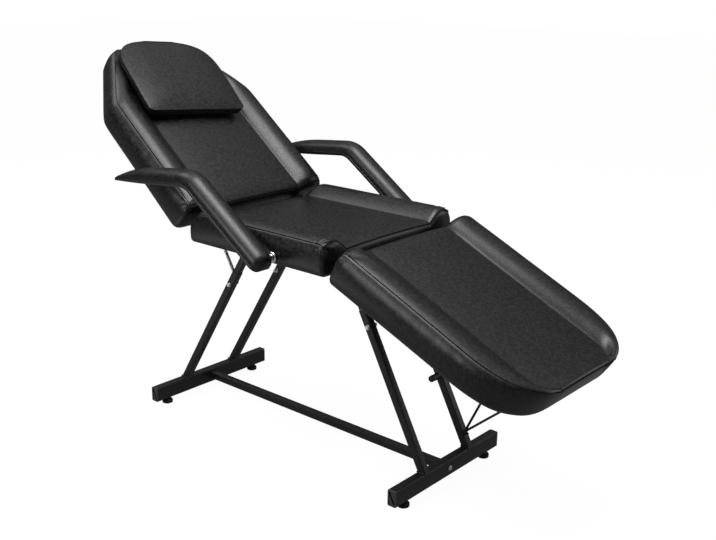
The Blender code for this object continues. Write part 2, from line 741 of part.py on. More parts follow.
def arm_rings(section, y_mid):
    """Rings of a bar along the arm's path; a section is made of offsets across and above the path."""
    rings = []
    for i, (spot, thick) in enumerate(path):
        before = path[max(0, i - 1)][0]
        after = path[min(len(path) - 1, i + 1)][0]
        along = (after - before).normalized()
        above = Vector((along.z, 0.0, -along.x))
        if above.z < 0.0:
            above = -above
        end = min(1.0, 0.45 + 0.55 * thick) if i < 5 else min(1.0, 0.55 + 0.45 * thick)
        ring = []
        for across, up in section:
            low = ARM_CORE_T / 2.0 - ARM_T / 2.0
            lift = low + (up - low) * thick
            ring.append(spot + above * lift + Vector((0.0, y_mid + across * end, 0.0)))
        rings.append(ring)
    return rings


def pad_section():
    """Half round over a flat bed."""
    low = -ARM_T / 2.0 + ARM_CORE_T + GAP
    tall = ARM_T - ARM_CORE_T - GAP
    points = [(-ARM_W * 0.48, low)]
    for k in range(0, 9):
        angle = math.pi - math.pi * k / 8.0
        wide = math.copysign(abs(math.cos(angle)) ** 0.7, math.cos(angle))
        points.append((ARM_W / 2.0 * wide, low + tall * (0.30 + 0.70 * math.sin(angle) ** 0.8)))
    points.append((ARM_W * 0.48, low))
    return points


def core_section():
    """A flat strip."""
    low = -ARM_T / 2.0
    high = low + ARM_CORE_T
    half = ARM_W * 0.46
    return [(-half, high), (half, high), (half, low), (-half, low)]


for hand, y_side in (("near", -1.0), ("far", 1.0)):
    arm = empty("arm_axis_" + hand, root, (ARM_X, y_side * ARM_Y, SEAT_Z + ARM_UP))
    place("arm_pad_" + hand, loft(arm_rings(pad_section(), 0.0)), arm, LEATHER, smooth=True)
    place("arm_core_" + hand, loft(arm_rings(core_section(), 0.0)), arm, WOOD)
    face = HALF_W - SIDE_DRAW - BOARD_INSET + GAP
    spacer_y = sorted((y_side * face, y_side * (ARM_Y - ARM_W / 2.0 - GAP)))
    drum(
        "arm_spacer_" + hand, root, CHROME, SPACER_R, spacer_y[0], spacer_y[1], ARM_X, SEAT_Z + ARM_UP, 24, 0.001
    )


def to_local(x, z, axis_x, axis_z, degrees, flip):
    """A point of the base frame in a tilted section's own X and Z."""
    turn = math.radians(degrees)
    dx = x - axis_x
    dz = z - axis_z
    if flip:
        return (-dx * math.cos(turn) + dz * math.sin(turn), dx * math.sin(turn) + dz * math.cos(turn))
    return (dx * math.cos(turn) - dz * math.sin(turn), dx * math.sin(turn) + dz * math.cos(turn))


def stay(tag, parent, shoe, prop_deg, brace_deg, y, under, thin, track_low, track_high):
    """Two wires that meet at a shoe, hung from a slider on a wedge shaped track under a section."""
    track_bottom = under + thin * track_low - GAP - TRACK_T
    rings = []
    for s in (track_low, track_high):
        top = under + thin * s - GAP
        sides = ((-1.0, track_bottom), (1.0, track_bottom), (1.0, top), (-1.0, top))
        rings.append([Vector((s, y + side * TRACK_W / 2.0, z)) for side, z in sides])
    place(tag + "_stay_track", loft(rings), parent, STEEL_BLACK)
    slider_top = track_bottom - GAP
    end_z = slider_top - SLIDER_T - GAP
    tops = []
    for degrees in (prop_deg, brace_deg):
        tops.append(shoe[0] + (end_z - shoe[1]) / math.tan(math.radians(degrees)))
    low = min(tops) - SLIDER_OVER
    high = max(tops) + SLIDER_OVER
    spot = ((low + high) / 2.0, y, slider_top - SLIDER_T / 2.0)
    box(tag + "_stay_slider", parent, STEEL_BLACK, (high - low, TRACK_W, SLIDER_T), spot, 0.001)
    prop_y = y - WIRE_STEP / 2.0
    brace_y = y + WIRE_STEP / 2.0
    prop = wire(tag + "_stay_prop", parent, STEEL_BLACK, shoe, prop_deg, SHOE_R * 0.4, end_z, prop_y)
    eye = drum(
        tag + "_stay_shoe", parent, STEEL_BLACK, SHOE_R, y - SHOE_LEN / 2.0, y + SHOE_LEN / 2.0, shoe[0], shoe[1]
    )
    combine(prop, eye, "UNION")
    wire(tag + "_stay_brace", parent, STEEL_BLACK, shoe, brace_deg, SHOE_R + GAP * 2.0, end_z, brace_y)
    return low, high


# Front stay: its shoe lies between a stud and the far front leg's face and climbs that face with the leg rest
front_lean = math.atan2(BEAM_X - FRONT_LEG_TOP_X, SEAT_Z - BEAM_TOP)
face_off = (LEG_W / 2.0 + SHOE_R + 2.0 * GAP) / math.cos(front_lean)
front_shoe_x = leg_x("front", FRONT_SHOE_Z) + face_off
front_shoe = to_local(front_shoe_x, FRONT_SHOE_Z, LEG_AXIS_X, LEG_AXIS_Z, LEG_DEG, False)
front_high_z = LEG_AXIS_Z + front_shoe[1]
front_high_x = leg_x("front", front_high_z) + face_off
front_travel = LEG_AXIS_X + front_shoe[0] - front_high_x
front_slide = empty("front_stay_axis", leg, (0.0, 0.0, 0.0))
front_prop = FRONT_PROP_DEG + LEG_DEG
front_brace = FRONT_BRACE_DEG + LEG_DEG
front_low = front_shoe[0] - front_travel - 0.020
front_end = LEG_END - LEG_LEAN - 0.020
stay("front", front_slide, front_shoe, front_prop, front_brace, FRONT_STAY_Y, LEG_UNDER, LEG_THIN, front_low, front_end)

# Rear stay: the same under the back, on the near rear leg
rear_shoe = to_local(REAR_SHOE_X, REAR_SHOE_Z, BACK_AXIS_X, BACK_AXIS_Z, BACK_DEG, True)
rear_slide = empty("rear_stay_axis", back, (0.0, 0.0, 0.0))
rear_prop = 180.0 - REAR_PROP_DEG - BACK_DEG
stay("rear", rear_slide, rear_shoe, rear_prop, rear_prop, -REAR_STAY_Y, BACK_UNDER, BACK_THIN, 0.022, REAR_TRACK_END)

# The stud on the front leg's face and the peg on the rear leg that the shoes stand on
reach = PEG_R + SHOE_R + GAP
out = Vector((math.cos(front_lean), 0.0, math.sin(front_lean)))
down = Vector((math.sin(front_lean), 0.0, -math.cos(front_lean)))
foot = Vector((front_shoe_x, FRONT_STAY_Y, FRONT_SHOE_Z)) + down * reach - out * (SHOE_R + GAP)
stud = [(0.0, 0.0), (PEG_R, 0.0), (PEG_R, PEG_LEN * 0.94), (PEG_R * 0.8, PEG_LEN), (0.0, PEG_LEN)]
turned("front_peg", root, STEEL_BLACK, stud, foot, (0.0, math.pi / 2.0 - front_lean, 0.0), 12)
lie = math.radians(REAR_PEG_DEG)
rear_x = REAR_SHOE_X + reach * math.cos(lie)
rear_z = REAR_SHOE_Z + reach * math.sin(lie)
rear_face = -LEG_Y + LEG_W / 2.0 + GAP
drum("rear_peg", root, STEEL_BLACK, PEG_R, rear_face, REAR_STAY_Y + SHOE_LEN / 2.0, rear_x, rear_z, 12)
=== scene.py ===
"""Black three section treatment chair: sewn covers with welts, coated frame, wire stays and hardware."""

import math

import bmesh
import bpy
import numpy as np
from mathutils import Matrix, Vector


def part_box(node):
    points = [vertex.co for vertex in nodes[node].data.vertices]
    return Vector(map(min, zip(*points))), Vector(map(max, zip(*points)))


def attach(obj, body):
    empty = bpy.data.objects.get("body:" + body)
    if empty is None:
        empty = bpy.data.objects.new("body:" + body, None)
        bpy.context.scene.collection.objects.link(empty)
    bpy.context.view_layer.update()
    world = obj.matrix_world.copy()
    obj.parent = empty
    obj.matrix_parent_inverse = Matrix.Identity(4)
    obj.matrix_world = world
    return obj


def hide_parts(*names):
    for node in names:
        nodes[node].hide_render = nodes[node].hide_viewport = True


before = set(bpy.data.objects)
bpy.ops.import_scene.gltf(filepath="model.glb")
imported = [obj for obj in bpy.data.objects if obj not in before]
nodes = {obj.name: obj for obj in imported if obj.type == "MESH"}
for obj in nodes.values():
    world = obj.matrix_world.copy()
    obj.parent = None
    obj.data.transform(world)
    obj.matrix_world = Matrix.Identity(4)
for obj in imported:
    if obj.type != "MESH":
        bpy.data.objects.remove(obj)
scene = bpy.context.scene
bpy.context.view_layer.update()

# Sizes in metres, the same as in the solids
MID_X = -0.0491
SEAT_Z = 0.640
HALF_W = 0.289
LEG_Y = 0.1085
BEAM_X = 0.517
BEAM_Z = 0.045
BEAM_TOP = 0.070
BEAM_HALF = 0.250
BEAM_SIZE = (0.030, 0.050)
BEAM_CORNER = 0.0045
PLUG_T = 0.004
FOOT_Y = 0.200
TUBE = 0.025
TUBE_CORNER = 0.0035
STUB = 0.022
STUB_CORNER = 0.0030
REAR_TOP_X = -0.1635
FRONT_TOP_X = 0.2135
STUB_Z = 0.508
RAIL_BOTTOM = 0.6097
BACK_TURN = math.radians(38.4)
LEG_TURN = math.radians(24.4)
PLAY = 0.0003  # left between pieces that touch
ACROSS = Vector((0.0, 1.0, 0.0))
UP = Vector((0.0, 0.0, 1.0))
HANDS = (("near", -1.0), ("far", 1.0))
ENDS = (("rear", -1.0), ("front", 1.0))


# Finishes
def tone(text):
    """An sRGB hex value as linear light."""
    parts = [int(text[i : i + 2], 16) / 255.0 for i in (1, 3, 5)]
    return tuple(c / 12.92 if c <= 0.04045 else ((c + 0.055) / 1.055) ** 2.4 for c in parts) + (1.0,)


def feed(tree, node, sockets):
    """Gives the inputs of a shader node their values and links."""
    for key, value in sockets.items():
        if isinstance(value, bpy.types.NodeSocket):
            tree.links.new(value, node.inputs[key])
        else:
            node.inputs[key].default_value = value


def add(tree, kind, sockets=None, **settings):
    """Adds a shader node with its options, its values and its links."""
    made = tree.nodes.new("ShaderNode" + kind)
    for key, value in settings.items():
        setattr(made, key, value)
    feed(tree, made, sockets or {})
    return made


def finish(name, values):
    """A named material with the values that are the same all over it."""
    made = bpy.data.materials.new(name)
    made.use_nodes = True
    shader = made.node_tree.nodes["Principled BSDF"]
    feed(made.node_tree, shader, values)
    return made, made.node_tree, shader


def vary(tree, shader, pattern, dark, pale, low, high):
    """Colour and gloss that change together with one pattern."""
    blend = {"Factor": pattern, "A": tone(dark), "B": tone(pale)}
    colour = add(tree, "Mix", blend, data_type="RGBA")
    rough = add(tree, "MapRange", {"Value": pattern, "To Min": low, "To Max": high})
    feed(tree, shader, {"Base Color": colour.outputs["Result"], "Roughness": rough.outputs["Result"]})


def coated_leather(name, dark, pale, grain_mm, low, high, shine=0.5):
    """Black vinyl leather: a pebble grain under a satin topcoat, so broad soft lights and faint mottling."""
    made, tree, shader = finish(name, {"IOR": 1.46, "Specular IOR Level": shine})
    place = add(tree, "TexCoord").outputs["Object"]
    # Pebbles of the emboss, drawn at up to twice their real 0.8 mm so that they show
    pebble = add(tree, "TexVoronoi", {"Vector": place, "Scale": 1000.0 / grain_mm}, feature="SMOOTH_F1")
    # Clusters of pebbles, drawn 9 mm across for the same reason
    crease = add(tree, "TexNoise", {"Vector": place, "Scale": 1000.0 / 9.0, "Detail": 5.0, "Roughness": 0.62})
    # Foam and glue under the cover leave slow waves about 70 mm long
    wave = add(tree, "TexNoise", {"Vector": place, "Scale": 1000.0 / 70.0, "Detail": 1.0})
    blotch = add(tree, "MapRange", {"Value": crease.outputs["Fac"], "From Min": 0.40, "From Max": 0.64})
    blend = {"Factor": blotch.outputs["Result"], "A": tone(dark), "B": tone(pale)}
    colour = add(tree, "Mix", blend, data_type="RGBA")
    span = {"From Min": 0.3, "From Max": 0.7, "To Min": low, "To Max": high}
    rough = add(tree, "MapRange", {"Value": crease.outputs["Fac"], **span})
    feed(tree, shader, {"Base Color": colour.outputs["Result"], "Roughness": rough.outputs["Result"]})
    # Waves, clusters and pebbles lie over each other
    relief = shader
    for height, strength, depth in (
        (pebble.outputs["Distance"], 0.07, 0.0003),
        (crease.outputs["Fac"], 0.10, 0.0012),
        (wave.outputs["Fac"], 0.15, 0.004),
    ):
        under = add(tree, "Bump", {"Height": height, "Strength": strength, "Distance": depth})
        feed(tree, relief, {"Normal": under.outputs["Normal"]})
        relief = under
    return made


def powder_coat(name):
    """Black powder coat on steel tube: an even satin skin with the slight orange peel of melted powder."""
    made, tree, shader = finish(name, {"IOR": 1.5})
    place = add(tree, "TexCoord").outputs["Object"]
    peel = add(tree, "TexNoise", {"Vector": place, "Scale": 1000.0 / 2.2, "Detail": 2.0})
    rub = add(tree, "TexNoise", {"Vector": place, "Scale": 1000.0 / 60.0, "Detail": 3.0})
    vary(tree, shader, rub.outputs["Fac"], "#161617", "#202021", 0.34, 0.50)
    skin = add(tree, "Bump", {"Height": peel.outputs["Fac"], "Strength": 0.18, "Distance": 0.0004})
    feed(tree, shader, {"Normal": skin.outputs["Normal"]})
    return made


def plated(name, pale, dull, low, high, streak_mm):
    """Plated steel: a bright metal whose thin plating clouds the gloss in patches."""
    made, tree, shader = finish(name, {"Metallic": 1.0})
    place = add(tree, "TexCoord").outputs["Object"]
    cloud = add(tree, "TexNoise", {"Vector": place, "Scale": 1000.0 / streak_mm, "Detail": 4.0})
    vary(tree, shader, cloud.outputs["Fac"], pale, dull, low, high)
    return made


def moulded(name, dark, pale, rough_low, rough_high, grit_mm, depth):
    """Moulded plastic or rubber: a dull skin with the fine spark grit of its mould."""
    made, tree, shader = finish(name, {"IOR": 1.5})
    place = add(tree, "TexCoord").outputs["Object"]
    grit = add(tree, "TexNoise", {"Vector": place, "Scale": 1000.0 / grit_mm, "Detail": 3.0})
    dust = add(tree, "TexNoise", {"Vector": place, "Scale": 1000.0 / 14.0, "Detail": 2.0})
    vary(tree, shader, dust.outputs["Fac"], dark, pale, rough_low, rough_high)
    skin = add(tree, "Bump", {"Height": grit.outputs["Fac"], "Strength": 0.30, "Distance": depth})
    feed(tree, shader, {"Normal": skin.outputs["Normal"]})
    return made


def felt_cloth(name):
    """Black spun lining stapled under the boards: matt, with pressed dots and loose fibre."""
    nap = {"Sheen Weight": 0.25, "Sheen Roughness": 0.6, "Specular IOR Level": 0.2}
    made, tree, shader = finish(name, nap)
    place = add(tree, "TexCoord").outputs["Object"]
    # Pressed dots 3 mm apart
    dots = add(tree, "TexVoronoi", {"Vector": place, "Scale": 1000.0 / 3.0, "Randomness": 0.15})
    fibre = add(tree, "TexNoise", {"Vector": place, "Scale": 1000.0 / 1.5, "Detail": 5.0})
    vary(tree, shader, fibre.outputs["Fac"], "#0e0e0f", "#1d1d1e", 0.85, 0.98)
    press = add(tree, "Bump", {"Height": dots.outputs["Distance"], "Strength": 0.5, "Distance": 0.0006})
    fuzz = add(tree, "Bump", {"Height": fibre.outputs["Fac"], "Strength": 0.3, "Distance": 0.0004})
    feed(tree, fuzz, {"Normal": press.outputs["Normal"]})
    feed(tree, shader, {"Normal": fuzz.outputs["Normal"]})
    return made


LEATHER = coated_leather("black_vinyl_leather", "#040405", "#212122", 1.6, 0.31, 0.43)
# Welts of the seat, back and leg rest: a matte black cord whose colour is painted darker than the leather.
# This is painted shade for the sunk seam groove it lies in.
WELT_SEAM_SHADE = coated_leather("black_welt_painted_seam_shade", "#020202", "#060606", 1.2, 0.62, 0.80, 0.15)
COAT = powder_coat("black_powder_coat")
ZINC = plated("zinc_plated_steel", "#efefec", "#d2d3d2", 0.24, 0.40, 3.0)
CHROME = plated("chrome_plated_steel", "#eeeff0", "#dcdee0", 0.12, 0.20, 9.0)
PLUG = moulded("grey_moulded_plug", "#3b3c3e", "#4b4c4e", 0.50, 0.62, 0.8, 0.0003)
RUBBER = moulded("black_foot_rubber", "#141414", "#1e1e1e", 0.70, 0.85, 1.0, 0.0004)
LINING = felt_cloth("black_spun_lining")
STEEL = (COAT, "black_steel")
BRIGHT = (ZINC, "zinc")


# Working by hand: selecting, shaping and placing
def put_down():
    """Leaves nothing selected."""
    if bpy.context.object and bpy.context.object.mode != "OBJECT":
        bpy.ops.object.mode_set(mode="OBJECT")
    bpy.ops.object.select_all(action="DESELECT")


def take_up(piece):
    """Selects one piece and makes it the active one."""
    put_down()
    bpy.context.view_layer.objects.active = piece
    piece.select_set(True)


def edit_all():
    """Opens the active piece for shaping, with all of it selected."""
    bpy.ops.object.mode_set(mode="EDIT")
    bpy.ops.mesh.select_all(action="SELECT")


def set_down(name, data):
    """A new object in the scene."""
    made = bpy.data.objects.new(name, data)
    scene.collection.objects.link(made)
    return made


def pick(piece, kind, test):
    """In edit mode, selects the faces or edges of a piece that pass a test."""
    bpy.ops.mesh.select_mode(type=kind)
    bpy.ops.mesh.select_all(action="DESELECT")
    shape = bmesh.from_edit_mesh(piece.data)
    for item in shape.edges if kind == "EDGE" else shape.faces:
        if test(item):
            item.select_set(True)
    shape.select_flush_mode()
    bmesh.update_edit_mesh(piece.data)


def wrap_up(piece, name, smooth=35.0):
    """Names a shaped piece, puts its place into its mesh and turns its faces outwards."""
    take_up(piece)
    piece.name = name
    piece.data.name = name
    bpy.ops.object.transform_apply(location=True, rotation=True, scale=True)
    edit_all()
    bpy.ops.mesh.remove_doubles(threshold=0.00001)
    bpy.ops.mesh.normals_make_consistent(inside=False)
    bpy.ops.object.mode_set(mode="OBJECT")
    bpy.ops.object.shade_smooth_by_angle(angle=math.radians(smooth))
    put_down()
    return piece


def fit(piece, body, look, slot, *stands_for):
    """Gives a piece its finish and hangs it on the part of the chair that carries it."""
    piece.data.materials.clear()
    piece.data.materials.append(look)
    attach(piece, body)
    if stands_for:
        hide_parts(*stands_for)
    return piece


def another(piece, name, move, turn=0.0):
    """A copy with its own mesh, turned about the upright axis and moved."""
    made = set_down(name, piece.data.copy())
    made.data.name = name
    made.data.transform(Matrix.Translation(Vector(move)) @ Matrix.Rotation(turn, 4, "Z"))
    return made


def drawn_tube(name, low, high, size, corner, low_cut=None, high_cut=None):
    """A drawn steel tube between two points: a block with its long edges rounded and its ends sawn off."""
    low = Vector(low)
    high = Vector(high)
    run = high - low
    put_down()
    bpy.ops.mesh.primitive_cube_add(size=1.0)
    tube = bpy.context.object
    edit_all()
    bpy.ops.transform.resize(value=(size[0], size[1], run.length + 2.0 * max(size)))
    pick(tube, "EDGE", lambda e: abs(e.verts[0].co.z - e.verts[1].co.z) > 0.5 * run.length)
    bpy.ops.mesh.bevel(offset=corner, segments=4, profile=0.5, affect="EDGES")
    bpy.ops.object.mode_set(mode="OBJECT")
    stand = run.to_track_quat("Z", "Y").to_matrix().to_4x4()
    tube.matrix_world = Matrix.Translation((low + high) / 2.0) @ stand
    bpy.ops.object.transform_apply(location=True, rotation=True, scale=True)
    bpy.ops.object.mode_set(mode="EDIT")
    for spot, face in ((low, low_cut or -run), (high, high_cut or run)):
        bpy.ops.mesh.select_all(action="SELECT")
        face = Vector(face).normalized()
        bpy.ops.mesh.bisect(plane_co=spot, plane_no=face, use_fill=True, clear_outer=True)
    return wrap_up(tube, name)


def turned_piece(name, outline, sides, spot, aim, smooth=35.0):
    """A turned or hexagonal piece: a disc drawn out along its axis through radius and height pairs."""
    put_down()
    radius, height = outline[0]
    first = height
    bpy.ops.mesh.primitive_circle_add(vertices=sides, radius=radius, fill_type="NGON")
    piece = bpy.context.object
    bpy.ops.object.mode_set(mode="EDIT")
    bpy.ops.mesh.select_mode(type="FACE")
    bpy.ops.mesh.select_all(action="SELECT")
    for wide, high in outline[1:]:
        bpy.ops.mesh.extrude_region_move(TRANSFORM_OT_translate={"value": (0.0, 0.0, high - height)})
        share = wide / radius
        bpy.ops.transform.resize(value=(share, share, 1.0), center_override=(0.0, 0.0, high - first))
        radius, height = wide, high
    bpy.ops.object.mode_set(mode="OBJECT")
    stand = Vector(aim).to_track_quat("Z", "Y").to_matrix().to_4x4()
    piece.matrix_world = Matrix.Translation(Vector(spot)) @ stand @ Matrix.Translation((0.0, 0.0, first))
    return wrap_up(piece, name, smooth)


def bent_bar(name, points, radius, closed=False, swell=None, rounds=3):
    """A round bar bent along a line of points, made a mesh."""
    line = bpy.data.curves.new(name, "CURVE")
    line.dimensions = "3D"
    line.bevel_depth = radius
    line.bevel_resolution = rounds
    line.use_fill_caps = True
    run = line.splines.new("POLY")
    run.points.add(len(points) - 1)
    for i, (knot, spot) in enumerate(zip(run.points, points)):
        knot.co = (*spot, 1.0)
        knot.radius = swell(i) if swell else 1.0
    run.use_cyclic_u = closed
    take_up(set_down(name, line))
    bpy.ops.object.convert(target="MESH")
    return wrap_up(bpy.context.object, name, 60.0)


def joined(name, pieces, smooth=35.0):
    """Several shaped pieces as one."""
    take_up(pieces[0])
    for piece in pieces[1:]:
        piece.select_set(True)
    bpy.ops.object.join()
    return wrap_up(bpy.context.object, name, smooth)


# Sewn covers
def ease(t):
    t = min(1.0, max(0.0, t))
    return t * t * (3.0 - 2.0 * t)


def corner_cut(distance, radius):
    """How far a rounded corner draws in at a distance from its end."""
    if distance >= radius:
        return 0.0
    inner = radius - max(0.0, distance)
    return radius - math.sqrt(max(0.0, radius * radius - inner * inner))


# Form of the seat, the back and the leg rest, each measured along it, across it and out of its face
FORM = (
    ("ends", (-0.256, 0.2945), (0.010, 0.706), (0.0061, 0.6620)),
    # Rounding of the top at both ends, of the panel's first end, of the plan's corners and of the underside
    ("noses", (0.048, 0.022), (0.026, 0.012), (0.022, 0.012)),
    ("panel_nose", 0.030, 0.018, 0.022),
    ("corners", (0.012, 0.012), (0.012, 0.025), (0.012, 0.115)),
    ("keels", (0.012, 0.012), (0.036, 0.016), (0.016, 0.022)),
    # Start and slope of the taper
    ("taper", (1.0, 0.0), (0.466, 0.60), (0.496, 0.28)),
    # Half the width of the panel, height of the seam, and how far the panel lies under it
    ("panel", 0.190, 0.190, 0.176),
    ("seam", 0.093, 0.0459, 0.1190),
    ("floor", 0.021, 0.015, 0.0165),
    # Height and slope of the underside, and fullness of the side band
    ("under", (0.0016, 0.0), (-0.0669, 0.0305), (0.0107, 0.0225)),
    ("belly", 0.010, 0.018, 0.016),
    # Bolsters: height, where the slope ends, share of it that the foot takes, how far the first end settles
    ("roll", 0.012, 0.013, 0.006),
    ("crest", 0.56, 0.56, 0.60),
    ("foot", 0.10, 0.10, 0.50),
    ("settle", 0.85, 0.85, 0.0),
    # Depth of the groove beside the panel, and how far the last end leans in under its seam
    ("groove", 0.0006, 0.0008, 0.0006),
    ("lean", 0.0, 0.0, 0.018),
    # Place and depth of the gathers at two corners
    ("gathers", (0.2725, 0.0018), (0.032, 0.0009), (0.0281, 0.0012)),
)
SEAT, BACK, LEG = ({row[0]: row[k] for row in FORM} for k in (1, 2, 3))
SECTIONS = (("seat", SEAT, "base"), ("back", BACK, "back"), ("leg", LEG, "leg"))
for section, x, z, way, turn in (
    (SEAT, 0.0, SEAT_Z, 1.0, 0.0),
    (BACK, -0.266, 0.7035, -1.0, BACK_TURN),
    (LEG, 0.298, 0.626, 1.0, LEG_TURN),
):
    section["origin"] = Vector((MID_X + x, 0.0, z))
    section["along"] = Vector((way * math.cos(turn), 0.0, -way * math.sin(turn)))
    section["out"] = Vector((math.sin(turn), 0.0, math.cos(turn)))


def point_of(section, s, y, h):
    """A point of a section in the chair's frame."""
    return section["origin"] + section["along"] * s + ACROSS * y + section["out"] * h


def ends_cut(section, s, radii):
    """How far the rounding of both ends draws in at a place along a section."""
    start, end = section["ends"]
    return corner_cut(s - start, radii[0]) + corner_cut(end - s, radii[1])


WAIST = 0.0015  # how far the sides pull in between the corners
TAPER_SOFT = 0.0001  # square of the length over which the taper sets in


def half_width(section, s):
    """Half the width of a section's plan at a place along it."""
    start, end = section["ends"]
    begin, taper = section["taper"]
    share = min(1.0, max(0.0, (s - start) / (end - start)))
    line = HALF_W - taper * (s - begin)
    wide = HALF_W
    if taper > 0.0:
        wide = 0.5 * (HALF_W + line - math.sqrt((HALF_W - line) ** 2 + TAPER_SOFT))
    wide -= WAIST * math.sin(math.pi * share) ** 2
    return wide - ends_cut(section, s, section["corners"])


SHOULDER = 0.64  # where a bolster starts to fall to its seam, as a share of its width
STRAIGHT = 0.55  # where its inner slope starts to round over, as a share of the slope
PANEL_MOST = 0.72  # the widest panel, as a share of the half width
PANEL_CROWN = 0.004
GROOVE_WIDTH = 0.0045


def panel_half(section, half):
    """Half the width of a section's panel where the section has a given half width."""
    return min(section["panel"], PANEL_MOST * half)


def climb(x, foot):
    """Share of a bolster's height up its inner slope: an eased foot, a straight run and a rounded top."""
    total = 0.5 * foot + (STRAIGHT - foot) + 0.5 * (1.0 - STRAIGHT)
    if x < foot:
        return 0.5 * x * x / foot / total
    past = max(0.0, x - STRAIGHT)
    return (x - 0.5 * foot - 0.5 * past * past / (1.0 - STRAIGHT)) / total


def cover_height(section, y, half, full=1.0):
    """Height of a cover over its seam: a low panel, and on each side a slope, a crest and a shoulder."""
    inner = panel_half(section, half)
    # Panel and bolsters run out where the section gets narrow
    fade = ease((half - section["panel"] + 0.010) / 0.070)
    floor = -section["floor"] * (0.35 + 0.65 * fade)
    top = section["roll"] * fade * full
    size = abs(y)
    if size <= inner:
        height = floor + PANEL_CROWN * (1.0 - (size / inner) ** 2)
    else:
        q = (size - inner) / (half - inner)
        crest = section["crest"]
        if q < crest:
            height = floor + (top - floor) * climb(q / crest, section["foot"])
        elif q < SHOULDER:
            height = top
        else:
            height = top * (1.0 - ((q - SHOULDER) / (1.0 - SHOULDER)) ** 2)
    return height - section["groove"] * fade * math.exp(-(((size - inner) / GROOVE_WIDTH) ** 2))


PANEL_STEPS = 36
ROLL_PLACES = (0.02, 0.045, 0.08, 0.13, 0.20, 0.29, 0.39, 0.50, 0.60)
ROLL_PLACES += (0.69, 0.77, 0.83, 0.88, 0.92, 0.95, 0.975, 0.99, 1.0)
ROLL_STEPS = len(ROLL_PLACES)
TOP_STEPS = PANEL_STEPS + 2 * ROLL_STEPS
BAND_LEVELS = (0.0, 0.02, 0.05, 0.10, 0.17, 0.27, 0.38, 0.50, 0.62, 0.73, 0.83, 0.90, 0.95, 0.98, 1.0)
BAND_STEPS = len(BAND_LEVELS) - 1
ROW_STEP = 0.0095
SEAM_INSET = 0.001
SEAM_DRAW = 0.0042  # how far the seam draws the two skins in
SETTLE_LENGTH = 0.060
PUCKER_DEPTH = 0.0007
BATTER = 0.002  # how far the side band leans in towards its lower edge
LOW_EDGE = 0.005  # rounding of the lower edge
LEAN_DEPTH = 0.1092  # height of the end face that leans in
LEAN_LENGTH = 0.12
END_SWELL = 0.003


def closed_skin(name, rings, top_steps, band_steps, end_swell=0.0):
    """Skins rings that run over the top, down a side, back underneath and up again, and closes both ends."""
    shape = bmesh.new()
    rows = [[shape.verts.new(p) for p in ring] for ring in rings]
    count = len(rows[0])
    for low, high in zip(rows, rows[1:]):
        for i in range(count):
            j = (i + 1) % count
            shape.faces.new((low[i], low[j], high[j], high[i]))
    for row, beside in ((rows[0], rows[1]), (rows[-1], rows[-2])):
        push = (row[top_steps // 2].co - beside[top_steps // 2].co).normalized()
        top = row[: top_steps + 1]
        bed = row[top_steps + band_steps : 2 * top_steps + band_steps + 1][::-1]
        grid = [top]
        for k in range(1, band_steps):
            share = BAND_LEVELS[k] if band_steps == BAND_STEPS else k / band_steps
            swell = push * end_swell * math.sin(math.pi * share)
            spots = [a.co.lerp(b.co, share) + swell for a, b in zip(top[1:-1], bed[1:-1])]
            grid.append([row[-k]] + [shape.verts.new(p) for p in spots] + [row[top_steps + k]])
        grid.append(bed)
        for k in range(band_steps):
            for j in range(top_steps):
                shape.faces.new((grid[k][j], grid[k][j + 1], grid[k + 1][j + 1], grid[k + 1][j]))
    bmesh.ops.recalc_face_normals(shape, faces=shape.faces)
    mesh = bpy.data.meshes.new(name)
    shape.to_mesh(mesh)
    shape.free()
    return set_down(name, mesh)


def places_along(section):
    """Places along a section, close together over its ends."""
    start, end = section["ends"]
    first = max(section["noses"][0], section["corners"][0])
    last = max(section["noses"][1], section["corners"][1])
    bends = [math.radians(a) for a in (0.0, 11.0, 22.0, 33.0, 45.0, 57.0, 68.0, 79.0)]
    rows = [start + first * (1.0 - math.cos(a)) for a in bends]
    low, high = start + first, end - last
    steps = max(10, round((high - low) / ROW_STEP))
    rows += [low + (high - low) * i / steps for i in range(steps + 1)]
    return rows + [end - last * (1.0 - math.cos(a)) for a in reversed(bends)]


def pucker(s, side):
    """Small gathers that the seam draws into the side band."""
    return (
        0.5 * math.sin(2.0 * math.pi * s / 0.061 + 2.0 * side)
        + 0.3 * math.sin(2.0 * math.pi * s / 0.037 + 1.0 + side)
        + 0.2 * math.sin(2.0 * math.pi * s / 0.026 + 2.6 * side)
    )


